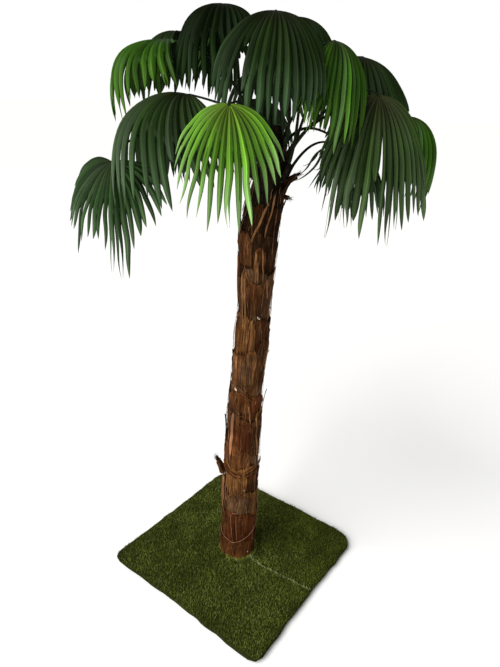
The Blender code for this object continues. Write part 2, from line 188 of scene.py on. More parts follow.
def lay_grid(mesh: Mesh, columns: int, rows: int, place: Callable[[float, float], Vector],
             material: int = 0) -> list[bmesh.types.BMVert]:
    """Adds a grid and bends it to a surface.

    Args:
        mesh: the mesh that the grid joins.
        columns: faces along the first parameter.
        rows: faces along the second parameter.
        place: the surface's point for two parameters from 0 to 1.
        material: index of the faces' material.

    Returns:
        The grid's vertices.
    """
    vertices = bmesh.ops.create_grid(mesh, x_segments=columns, y_segments=rows, size=0.5)["verts"]
    if material:
        for face in {face for vertex in vertices for face in vertex.link_faces}:
            face.material_index = material
    for vertex in vertices:
        vertex.co = place(vertex.co.x + 0.5, vertex.co.y + 0.5)
    return vertices


def sweep(mesh: Mesh, points: Sequence[Vector], radii: Sequence[float], sides: int,
          flatness: float = 1.0) -> list[bmesh.types.BMVert]:
    """Adds a tube with closed ends along a line.

    Args:
        mesh: the mesh that the tube joins.
        points: the centre line.
        radii: radius at each point.
        sides: number of sides.
        flatness: height of the section as a share of its width.

    Returns:
        The tube's vertices.
    """
    frames = []
    last = len(points) - 1
    across = Vector((0.31, 0.95, 0.05))  # any start that no line follows
    for number in range(len(points)):
        along = (points[min(number + 1, last)] - points[max(number - 1, 0)]).normalized()
        across = (across - along * across.dot(along)).normalized()
        frames.append((across.copy(), along.cross(across)))

    def place(around: float, share: float) -> Vector:
        number = round(share * last)
        angle = math.tau * around
        first, second = frames[number]
        out = first * math.cos(angle) + second * math.sin(angle) * flatness
        return points[number] + out * radii[number]

    vertices = lay_grid(mesh, sides, last, place)
    bmesh.ops.remove_doubles(mesh, verts=vertices, dist=SHARED_EDGE)
    vertices = [vertex for vertex in vertices if vertex.is_valid]
    rims = dict.fromkeys(edge for vertex in vertices for edge in vertex.link_edges if edge.is_boundary)
    bmesh.ops.holes_fill(mesh, edges=list(rims), sides=0)
    return vertices


def place_object(name: str, data: bpy.types.ID) -> Piece:
    """Puts a mesh, a light or a camera into the scene."""
    made = bpy.data.objects.new(name, data)
    bpy.context.scene.collection.objects.link(made)
    return made


def finish_mesh(name: str, mesh: Mesh, materials: Sequence[Material], crease: float = 60.0, wall: float = 0.0,
                offset: float = 0.0) -> Piece:
    """Turns a bmesh into an object, and frees it.

    Args:
        name: the piece's name.
        mesh: its mesh.
        materials: its materials, in the order of the faces' indices.
        crease: angle past which an edge is sharp.
        wall: thickness of an open sheet, or 0 for a closed body.
        offset: -1 puts the thickness behind the sheet, 0 on both sides.

    Returns:
        The object.
    """
    data = bpy.data.meshes.new(name)
    mesh.to_mesh(data)
    mesh.free()
    for material in materials:
        data.materials.append(material)
    data.shade_smooth()
    data.set_sharp_from_angle(angle=math.radians(crease))
    piece = place_object(name, data)
    if wall:
        shell = piece.modifiers.new("thickness", "SOLIDIFY")
        shell.thickness, shell.offset = wall, offset
    return piece


def settle(piece: Piece, slot: str, *nodes: str) -> None:
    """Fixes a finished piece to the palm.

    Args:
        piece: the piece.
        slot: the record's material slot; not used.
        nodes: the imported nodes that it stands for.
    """
    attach(piece, BODY)
    if nodes:
        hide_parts(*nodes)
    LOG.info("%s: %d faces", piece.name, len(piece.data.polygons))


class Scatter:
    """Copies of one small shape, joined into one mesh."""

    def __init__(self, shape: Mesh) -> None:
        """Reads the shape, and frees it."""
        self.corners = np.array([(*vertex.co, 1.0) for vertex in shape.verts])
        self.faces = [tuple(vertex.index for vertex in face.verts) for face in shape.faces]
        shape.free()

    def points(self, places: np.ndarray) -> np.ndarray:
        """Corner points of all copies, for an array of 4 x 4 matrices."""
        return np.einsum("nij,kj->nki", places, self.corners)[:, :, :3].reshape(-1, 3)

    def mesh(self, places: np.ndarray, first: int = 0) -> tuple[list[list[float]], list[list[int]]]:
        """Copies the shape.

        Args:
            places: an array of 4 x 4 matrices.
            first: number of the first corner.

        Returns:
            The corner points and the faces of all copies.
        """
        count = len(self.corners)
        faces = [[first + copy * count + corner for corner in face] for copy in range(len(places))
                 for face in self.faces]
        return self.points(places).tolist(), faces


def scattered_piece(name: str, parts: Sequence[tuple[Scatter, np.ndarray]],
                    material: Material) -> Piece:
    """Joins the copies of several small shapes.

    Args:
        name: the piece's name.
        parts: each shape with its matrices.
        material: the piece's material.

    Returns:
        The object.
    """
    points: list[list[float]] = []
    faces: list[list[int]] = []
    for shape, places in parts:
        more_points, more_faces = shape.mesh(places, len(points))
        points += more_points
        faces += more_faces
    data = bpy.data.meshes.new(name)
    data.from_pydata(points, [], faces)
    data.materials.append(material)
    data.shade_smooth()
    return place_object(name, data)


# ---------------------------------------------------------------- materials


class Effect(Enum):
    """Shader effects that more than one material uses."""

    STREAKS = "streaks"
    MOTTLE = "mottle"


class Graph:
    """A node tree with short calls for adding and linking nodes."""

    def __init__(self, tree: Tree) -> None:
        """Keeps the tree."""
        self.tree = tree

    def fill(self, node: Node, inputs: dict) -> Node:
        """Gives a node its inputs.

        Args:
            node: the node.
            inputs: a constant or another node's output for each input, by name or number.

        Returns:
            The node.
        """
        for name, value in inputs.items():
            if isinstance(value, Socket):
                self.tree.links.new(value, node.inputs[name])
            else:
                node.inputs[name].default_value = value
        return node

    def add(self, kind: str, inputs: dict | None = None, **settings: object) -> Node:
        """Adds one node.

        Args:
            kind: the node's type, without the word ShaderNode.
            inputs: a constant or another node's output for each input, by name or number.
            settings: the node's own properties.

        Returns:
            The node.
        """
        node = self.tree.nodes.new(f"ShaderNode{kind}")
        for name, value in settings.items():
            setattr(node, name, value)
        return self.fill(node, inputs or {})

    def group(self, effect: Effect, inputs: dict) -> Node:
        """Places a shared effect."""
        return self.fill(self.add("Group", node_tree=shared_effect(effect)), inputs)

    def math(self, operation: str, first: object, second: object = 0.0) -> Socket:
        """Output of a Math node."""
        return self.add("Math", {0: first, 1: second}, operation=operation).outputs[0]

    def remap(self, value: object, low: float, high: float, new_low: float = 0.0,
              new_high: float = 1.0) -> Socket:
        """Output of a Map Range node that rises smoothly."""
        spans = {"Value": value, "From Min": low, "From Max": high, "To Min": new_low, "To Max": new_high}
        return self.add("MapRange", spans, interpolation_type="SMOOTHSTEP").outputs["Result"]

    def stretch(self, value: object, contrast: object) -> Socket:
        """Stretches a value: what is within the contrast of one half fills 0 to 1."""
        low, high = self.math("SUBTRACT", 0.5, contrast), self.math("ADD", 0.5, contrast)
        return self.add("MapRange", {"Value": value, "From Min": low, "From Max": high}).outputs["Result"]

    def blend(self, share: object, first: object, second: object) -> Socket:
        """Output of a colour Mix node.

        Args:
            share: how much of the second colour it takes.
            first: a colour, or another node's output.
            second: the same.

        Returns:
            The node's colour output.
        """
        sides = {number: side if isinstance(side, Socket) else (*side, 1.0)
                 for number, side in ((6, first), (7, second))}
        return self.fill(self.add("Mix", {"Factor": share}, data_type="RGBA"), sides).outputs[2]

    def shaded(self, colour: object, shade: object) -> Socket:
        """A colour made lighter or darker by a value."""
        return self.add("HueSaturation", {"Value": shade, "Color": colour}).outputs[0]

    def bump(self, height: object, strength: float, distance: float) -> Socket:
        """Normal of a surface with a relief."""
        return self.add("Bump", {"Strength": strength, "Distance": distance, "Height": height}).outputs[0]

    def places(self) -> Socket:
        """Object coordinates."""
        return self.add("TexCoord").outputs["Object"]


def shared_effect(effect: Effect) -> Tree:
    """Gives an effect's node group, built once.

    Args:
        effect: which effect.

    Returns:
        Its node group.
    """
    known = bpy.data.node_groups.get(effect.value)
    if known:
        return known
    tree = bpy.data.node_groups.new(effect.value, "ShaderNodeTree")
    build = {Effect.STREAKS: build_streaks, Effect.MOTTLE: build_mottle}[effect]
    build(tree)
    return tree


def group_ends(tree: Tree, inputs: dict[str, float | None],
               outputs: Sequence[str]) -> tuple[Node, Node]:
    """Makes a group's sockets.

    Args:
        tree: the node group.
        inputs: default of each number, or None for a vector.
        outputs: names of the numbers that come out.

    Returns:
        The group's input and output nodes.
    """
    for name, value in inputs.items():
        kind = "NodeSocketVector" if value is None else "NodeSocketFloat"
        socket = tree.interface.new_socket(name=name, in_out="INPUT", socket_type=kind)
        if value is not None:
            socket.default_value = value
    for name in outputs:
        tree.interface.new_socket(name=name, in_out="OUTPUT", socket_type="NodeSocketFloat")
    return tree.nodes.new("NodeGroupInput"), tree.nodes.new("NodeGroupOutput")


def build_streaks(tree: Tree) -> None:
    """Fills a group with long fine streaks: coarse and fine noise, stretched along the third coordinate.

    Args:
        tree: the node group.
    """
    graph = Graph(tree)
    start, end = group_ends(tree, {"Vector": None, "Across": 100.0, "Along": 4.0, "Contrast": 0.3},
                            ("Mask", "Height"))
    given = start.outputs
    rates = graph.add("CombineXYZ", {"X": given["Across"], "Y": given["Across"], "Z": given["Along"]})
    place = graph.add("VectorMath", {0: given["Vector"], 1: rates.outputs[0]}, operation="MULTIPLY")
    place = place.outputs[0]
    coarse = graph.add("TexNoise", {"Vector": place, "Scale": 1.0, "Detail": 3.0, "Distortion": 0.4})
    fine = graph.add("TexNoise", {"Vector": place, "Scale": 3.7, "Detail": 2.0})
    both = graph.math("ADD", graph.math("MULTIPLY", coarse.outputs["Fac"], COARSE_SHARE),
                      graph.math("MULTIPLY", fine.outputs["Fac"], 1.0 - COARSE_SHARE))
    graph.fill(end, {"Mask": graph.stretch(both, given["Contrast"]), "Height": both})


def build_mottle(tree: Tree) -> None:
    """Fills a group with soft patches of uneven tone.

    Args:
        tree: the node group.
    """
    graph = Graph(tree)
    start, end = group_ends(tree, {"Vector": None, "Scale": 10.0, "Contrast": 0.2}, ("Mask",))
    given = start.outputs
    cloud = graph.add("TexNoise", {"Vector": given["Vector"], "Scale": given["Scale"], "Detail": 3.0})
    graph.fill(end, {"Mask": graph.stretch(cloud.outputs["Fac"], given["Contrast"])})


MATT_SPECULAR = 0.04
COARSE_SHARE = 0.62  # of the streaks; the rest are fine


@dataclass(frozen=True)
class Finish:
    """What every finish has: a name and a base roughness."""

    name: str
    roughness: float

    def start(self) -> tuple[Material, Graph, Node]:
        """Starts the material.

        Returns:
            The material, its graph and its shader.
        """
        material = bpy.data.materials.new(self.name)
        material.use_nodes = True
        shader = material.node_tree.nodes["Principled BSDF"]
        shader.inputs["Specular IOR Level"].default_value = MATT_SPECULAR
        return material, Graph(material.node_tree), shader


@dataclass(frozen=True)
class LeafFinish(Finish):
    """Pleated woven polyester: darker and warmer at the hub, with fine veins along each finger, painted shade
    in the pleats' grooves and a painted highlight along their ridges.
    """

    root: Colour
    blade: Colour
    tip: Colour
    specular: float
    veins: float = 17.0  # fine lines across one finger
    # The darker hub is partly the leaf's own olive-brown and partly painted shade on the top of each arch;
    # the paler tips are partly their own colour and partly a painted highlight.
    changes: tuple[float, float, float] = (0.04, 0.42, 0.95)  # shares of the reach; the colour changes
    streaks: Span = (9.0, 2.2)  # for each finger, and for each reach
    streak_shades: Span = (0.72, 1.24)
    patch_shades: Span = (0.84, 1.12)
    # painted shade in the pleats' grooves and painted highlight along their ridges
    painted_groove_shade: float = 0.30
    painted_ridge_highlight: float = 1.55
    relief: float = 0.0005

    @cache
    def material(self) -> Material:
        """Makes the material.

        Returns:
            The material, made once.
        """
        material, graph, shader = self.start()
        pleat = graph.add("Attribute", attribute_name="pleat").outputs["Fac"]
        reach = graph.add("Attribute", attribute_name="reach").outputs["Fac"]
        lines = graph.add("CombineXYZ", {"X": pleat, "Y": 0.0, "Z": reach}).outputs[0]
        across, along = self.streaks
        streaks = graph.group(Effect.STREAKS, {"Vector": lines, "Across": across, "Along": along,
                                               "Contrast": 0.22})
        patches = graph.group(Effect.MOTTLE, {"Vector": graph.places(), "Scale": 9.0, "Contrast": 0.25})
        hub_end, middle, tip_start = self.changes
        # hub to tip: partly own colour, partly painted shade on the arch tops and painted highlight on the
        # hanging tips
        colour = graph.blend(graph.remap(reach, hub_end, middle), self.root, self.blade)
        colour = graph.blend(graph.remap(reach, middle, tip_start), colour, self.tip)
        shade = graph.math("MULTIPLY", graph.remap(streaks.outputs["Mask"], 0.0, 1.0, *self.streak_shades),
                           graph.remap(patches.outputs["Mask"], 0.0, 1.0, *self.patch_shades))
        # Painted shade and highlight: the pleats' grooves are darkened and their ridges lightened.
        fold = graph.math("PINGPONG", pleat, 0.5)
        folded = graph.math("MULTIPLY", graph.remap(fold, 0.0, 0.18, self.painted_groove_shade, 1.0),
                            graph.remap(fold, 0.34, 0.5, 1.0, self.painted_ridge_highlight))
        ridges = graph.math("SINE", graph.math("MULTIPLY", pleat, math.tau * self.veins))
        height = graph.math("ADD", graph.math("MULTIPLY", ridges, 0.35), streaks.outputs["Height"])
        smoothest, roughest = self.roughness - 0.07, self.roughness + 0.10
        graph.fill(shader, {
            "Base Color": graph.shaded(colour, graph.math("MULTIPLY", shade, folded)),
            "Roughness": graph.remap(streaks.outputs["Mask"], 0.0, 1.0, smoothest, roughest),
            "Specular IOR Level": self.specular,
            "Normal": graph.bump(height, 0.45, self.relief)})
        return material


@dataclass(frozen=True)
class FibreFinish(Finish):
    """Palm fibre: fine upright streaks between a dark and a pale tone, with uneven patches."""

    dark: Colour
    middle: Colour
    pale: Colour
    across: float = 130.0  # streaks for each metre round the trunk, and along it
    along: float = 7.0
    relief: float = 0.0016
    broad_rates: Span = (0.42, 0.7)  # of the broad and the fine streaks, as shares of those
    fine_rates: Span = (2.2, 2.0)
    thread_share: float = 0.75
    patch_shades: Span = (0.55, 1.30)
    gap_shade: float = 0.50

    @cache
    def material(self) -> Material:
        """Makes the material.

        Returns:
            The material, made once.
        """
        material, graph, shader = self.start()
        places = graph.places()
        broad, fine = (
            graph.group(Effect.STREAKS, {"Vector": places, "Across": self.across * rates[0],
                                         "Along": self.along * rates[1], "Contrast": contrast})
            for rates, contrast in ((self.broad_rates, 0.13), (self.fine_rates, 0.22)))
        patches = graph.group(Effect.MOTTLE, {"Vector": places, "Scale": 13.0, "Contrast": 0.20})
        mask = fine.outputs["Mask"]
        colour = graph.blend(broad.outputs["Mask"], self.dark, self.middle)
        thread = graph.math("MULTIPLY", graph.remap(mask, 0.45, 1.0), self.thread_share)
        shade = graph.math("MULTIPLY", graph.remap(patches.outputs["Mask"], 0.0, 1.0, *self.patch_shades),
                           graph.remap(mask, 0.0, 0.4, self.gap_shade, 1.0))
        height = graph.math("ADD", graph.math("MULTIPLY", broad.outputs["Height"], 1.4),
                            fine.outputs["Height"])
        graph.fill(shader, {
            "Base Color": graph.shaded(graph.blend(thread, colour, self.pale), shade),
            "Roughness": graph.remap(mask, 0.0, 1.0, self.roughness + 0.08, self.roughness - 0.12),
            "Normal": graph.bump(height, 0.8, self.relief)})
        return material


@dataclass(frozen=True)
class PileFinish(Finish):
    """Turf blades: darker at the backing, paler at the tips, with uneven patches."""

    root: Colour
    tip: Colour
    low: float = 0.015  # heights above the ground between which the tone changes
    high: float = 0.029
    patch_shades: Span = (0.74, 1.20)

    @cache
    def material(self) -> Material:
        """Makes the material.

        Returns:
            The material, made once.
        """
        material, graph, shader = self.start()
        places = graph.places()
        height = graph.add("SeparateXYZ", {"Vector": places}).outputs["Z"]
        patches = graph.group(Effect.MOTTLE, {"Vector": places, "Scale": 11.0, "Contrast": 0.16}).outputs[0]
        colour = graph.blend(graph.remap(height, self.low, self.high), self.root, self.tip)
        graph.fill(shader, {
            "Base Color": graph.shaded(colour, graph.remap(patches, 0.0, 1.0, *self.patch_shades)),
            "Roughness": graph.remap(patches, 0.0, 1.0, self.roughness + 0.06, self.roughness - 0.06)})
        return material


@dataclass(frozen=True)
class PlainFinish(Finish):
    """One tone with a light grain, for plastic, backing and board."""

    colour: Colour
    across: float = 160.0
    along: float = 30.0
    relief: float = 0.0004
    grain_shades: Span = (0.7, 1.3)

    @cache
    def material(self) -> Material:
        """Makes the material.

        Returns:
            The material, made once.
        """
        material, graph, shader = self.start()
        grain = graph.group(Effect.STREAKS, {"Vector": graph.places(), "Across": self.across,
                                             "Along": self.along, "Contrast": 0.25})
        mask = grain.outputs["Mask"]
        shade = graph.remap(mask, 0.0, 1.0, *self.grain_shades)
        graph.fill(shader, {
            "Base Color": graph.shaded((*self.colour, 1.0), shade),
            "Roughness": graph.remap(mask, 0.0, 1.0, self.roughness - 0.05, self.roughness + 0.08),
            "Normal": graph.bump(grain.outputs["Height"], 0.5, self.relief)})
        return material


@dataclass(frozen=True)
class Tone:
    """Colours of a leaf, and how its fingers are cut."""

    slot: str  # the record's material slot
    # the dark hub is partly painted shade and the pale tip partly painted highlight
    hub: Colour
    blade: Colour
    tip: Colour
    notches: Span  # shortest and longest share of the reach that fingers are joined along
    width: float  # of a finger where it parts from its neighbours
    taper: float  # how long a finger stays wide before it narrows to its tip
    specular: float  # how much light it throws back
    # the darker and lighter copies: partly random tone between fingers, partly painted shade and painted
    # highlight
    shades: tuple[float, float, float] = (1.0, 0.60, 1.48)
    sheen_and_underside: Span = (1.05, 0.40)  # share of the tone and of its grey in the greyer finish: a painted silvery sheen, partly the paler underside's colour
    roughness: Span = (0.40, 0.46)  # of the first three finishes and of the greyer one


class LeafTone(Enum):
    """Tone of a leaf."""

    BRIGHT = Tone("bright_leaf", (0.072, 0.134, 0.009), (0.084, 0.214, 0.015), (0.190, 0.335, 0.108),
                  (0.30, 0.46), 0.044, 3.6, 0.07)
    FRESH = Tone("fresh_leaf", (0.014, 0.030, 0.002), (0.022, 0.072, 0.003), (0.060, 0.145, 0.016),
                 (0.42, 0.60), 0.031, 3.4, 0.06)
    SHADE = Tone("fresh_leaf", (0.007, 0.014, 0.002), (0.009, 0.026, 0.003), (0.030, 0.064, 0.014),
                 (0.42, 0.60), 0.031, 3.4, 0.04)
    NIGHT = Tone("dark_leaf", (0.004, 0.004, 0.001), (0.004, 0.009, 0.002), (0.016, 0.036, 0.010),
                 (0.46, 0.66), 0.032, 3.8, 0.02)
    DUSK = Tone("dark_leaf", (0.006, 0.007, 0.002), (0.007, 0.016, 0.003), (0.030, 0.058, 0.024),
                (0.46, 0.66), 0.032, 3.8, 0.03)
    DARK = Tone("dark_leaf", (0.009, 0.012, 0.003), (0.012, 0.028, 0.005), (0.040, 0.076, 0.030),
                (0.42, 0.64), 0.032, 3.8, 0.06)
    PINE = Tone("dark_leaf", (0.014, 0.026, 0.007), (0.019, 0.044, 0.012), (0.050, 0.088, 0.038),
                (0.36, 0.58), 0.030, 3.8, 0.06)
    OLIVE = Tone("olive_leaf", (0.019, 0.023, 0.006), (0.020, 0.042, 0.009), (0.046, 0.078, 0.030),
                 (0.42, 0.64), 0.043, 4.8, 0.06)
    LOOSE = Tone("dark_leaf", (0.008, 0.011, 0.003), (0.013, 0.027, 0.006), (0.040, 0.068, 0.026),
                 (0.14, 0.24), 0.026, 3.0, 0.05)

    def finishes(self) -> list[LeafFinish]:
        """Gives the finishes that are dealt out to the fingers.

        Returns:
            Four close shades; the darker and lighter ones are partly painted shade and highlight, and the
            last is a greyer one, a painted silvery sheen that partly stands for the paler underside.
        """
        tone = self.value
        colours = (tone.hub, tone.blade, tone.tip)
        own_share, grey = tone.sheen_and_underside
        sets = [[tuple(part * shade for part in colour) for colour in colours] for shade in tone.shades]
        sets.append([tuple(own_share * part + grey * sum(colour) / 3.0 for part in colour) for colour in colours])
        name = f"{self.name.lower()}_blade"
        return [LeafFinish(f"{name}_{number}", tone.roughness[number == len(sets)], *dealt, tone.specular)
                for number, dealt in enumerate(sets, start=1)]


# painted shadow of the crown: the darkest fibre, only on the trunk's top
BARK_CROWN_SHADOW = FibreFinish("bark_night", 0.86, (0.003, 0.002, 0.001), (0.010, 0.006, 0.003),
                         (0.034, 0.020, 0.009))
# darker fibre: painted shade of the crown high on the trunk, and now and then a darker tone lower down
BARK_DEEP_AND_CROWN_SHADE = FibreFinish("bark_dusk", 0.84, (0.007, 0.003, 0.001), (0.029, 0.010, 0.003),
                        (0.095, 0.043, 0.015))
BARK_UMBER = FibreFinish("bark_umber", 0.80, (0.018, 0.006, 0.001), (0.065, 0.023, 0.007),
                         (0.173, 0.078, 0.027))
BARK_RUST = FibreFinish("bark_rust", 0.80, (0.023, 0.006, 0.001), (0.084, 0.023, 0.006),
                        (0.179, 0.065, 0.022))
BARK_CHESTNUT = FibreFinish("bark_chestnut", 0.80, (0.027, 0.008, 0.002), (0.099, 0.035, 0.010),
                            (0.226, 0.104, 0.036))
BARK_ASH = FibreFinish("bark_ash", 0.82, (0.032, 0.014, 0.006), (0.109, 0.054, 0.024), (0.252, 0.141, 0.068))
BARK_FAWN = FibreFinish("bark_fawn", 0.78, (0.044, 0.016, 0.004), (0.158, 0.065, 0.017),
                        (0.357, 0.177, 0.059))
SHEET_FINISHES = (BARK_CROWN_SHADOW, BARK_DEEP_AND_CROWN_SHADE, BARK_UMBER, BARK_RUST, BARK_CHESTNUT, BARK_ASH, BARK_FAWN)
STRIP_TAN = FibreFinish("strip_tan", 0.62, (0.105, 0.045, 0.015), (0.226, 0.107, 0.041),
                        (0.378, 0.205, 0.089), relief=0.0006)
STRIP_PINK = FibreFinish("strip_pink", 0.66, (0.158, 0.061, 0.028), (0.304, 0.135, 0.068),
                         (0.452, 0.233, 0.130), relief=0.0006)
THREAD_PALE = FibreFinish("thread_pale", 0.70, (0.110, 0.048, 0.020), (0.250, 0.125, 0.062),
                          (0.420, 0.240, 0.130), relief=0.0003)
HAIR_BROWN = FibreFinish("hair_brown", 0.75, (0.017, 0.007, 0.002), (0.042, 0.017, 0.007),
                         (0.105, 0.051, 0.024), relief=0.0002)
PITH_WHITE = PlainFinish("pith_white", 0.55, (0.620, 0.500, 0.380))
STALK_PLASTIC = PlainFinish("stalk_plastic", 0.42, (0.009, 0.014, 0.005), along=60.0)
SHEATH_FIBRE = FibreFinish("sheath_fibre", 0.78, (0.004, 0.003, 0.002), (0.012, 0.009, 0.004),
                           (0.040, 0.026, 0.013), relief=0.0008)
TURF_BACKING = PlainFinish("turf_backing", 0.80, (0.018, 0.024, 0.005), along=160.0)
BOARD_WOOD = PlainFinish("board_wood", 0.75, (0.050, 0.034, 0.020), across=20.0, along=240.0)


# ---------------------------------------------------------------- trunk


@dataclass
class TrunkForm:
    """The leaning trunk's surface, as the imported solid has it, with the lumps of its wrapping."""

    profile: tuple[tuple[float, float, float], ...] = TRUNK_PROFILE
    blur: float = 0.022  # height over which the profile's corners are rounded
    sink: float = 0.0034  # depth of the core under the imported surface
    lumps: Ripple = Ripple(0.0030, (1.5, 1.5, 8.0))

    def row(self, height: float, column: int) -> float:
        """Reads the profile.

        Args:
            height: height above the ground.
            column: 1 for the radius, 2 for the lean.

        Returns:
            The value at that height.
        """
        rise = height - BOARD_TOP
        for low, high in zip(self.profile, self.profile[1:]):
            if rise <= high[0]:
                share = (rise - low[0]) / (high[0] - low[0])
                return low[column] + (high[column] - low[column]) * share
        return self.profile[-1][column]

    def centre(self, height: float) -> Vector:
        """Centre of the trunk at a height."""
        return heading_vector(LEAN_HEADING) * self.row(height, 2) + Vector((0.0, 0.0, height))

    def radius(self, height: float) -> float:
        """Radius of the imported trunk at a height."""
        return self.row(height, 1)

    def line(self) -> tuple[list[Vector], list[float]]:
        """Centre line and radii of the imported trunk."""
        heights = [row[0] + BOARD_TOP for row in self.profile]
        lift = Vector((0.0, 0.0, GAP))
        return [self.centre(height) + lift for height in heights], [row[1] for row in self.profile]

    def surface(self, heading: float, height: float, lift: float = 0.0) -> Vector:
        """Gives a point on the wrapped trunk.

        Args:
            heading: which side of the trunk.
            height: height above the ground.
            lift: distance out of the surface.

        Returns:
            The point.
        """
        low, high = max(height - self.blur, BOARD_TOP), height + self.blur
        radius = (self.radius(low) + self.radius(height) + self.radius(high)) / 3.0
        out = heading_vector(heading)
        return self.centre(height) + out * (radius - self.sink + self.lumps.at(out.x, out.y, height) + lift)


@dataclass(frozen=True)
class Strip:
    """A raised leaf rib in the wrapping, from its top to its foot."""

    top: float
    foot: float
    heading: float
    foot_heading: float
    width: float
    lift: float = 0.0084


@dataclass(frozen=True)
class Patch:
    """A sheet of fibre: its foot, its upper edge, the side that it is on, its span and its finish."""

    low: float
    high: float
    heading: float
    span: float
    finish: FibreFinish
    lift: float = 0.0026


@dataclass(frozen=True)
class Tie:
    """A thin raised line on the wrapping, through headings and heights."""

    places: tuple[Span, ...]
    radius: float = 0.0012


@dataclass(frozen=True)
class Flap:
    """A loose sheet end: its side, its foot and tip, its width, and how far its tip stands out."""

    heading: float
    low: float
    high: float
    width: float
    reach: float


@dataclass(frozen=True)
class Pith:
    """A white end of pith: its place, its size, and how far it leans aside."""

    heading: float
    height: float
    size: float
    lean: float


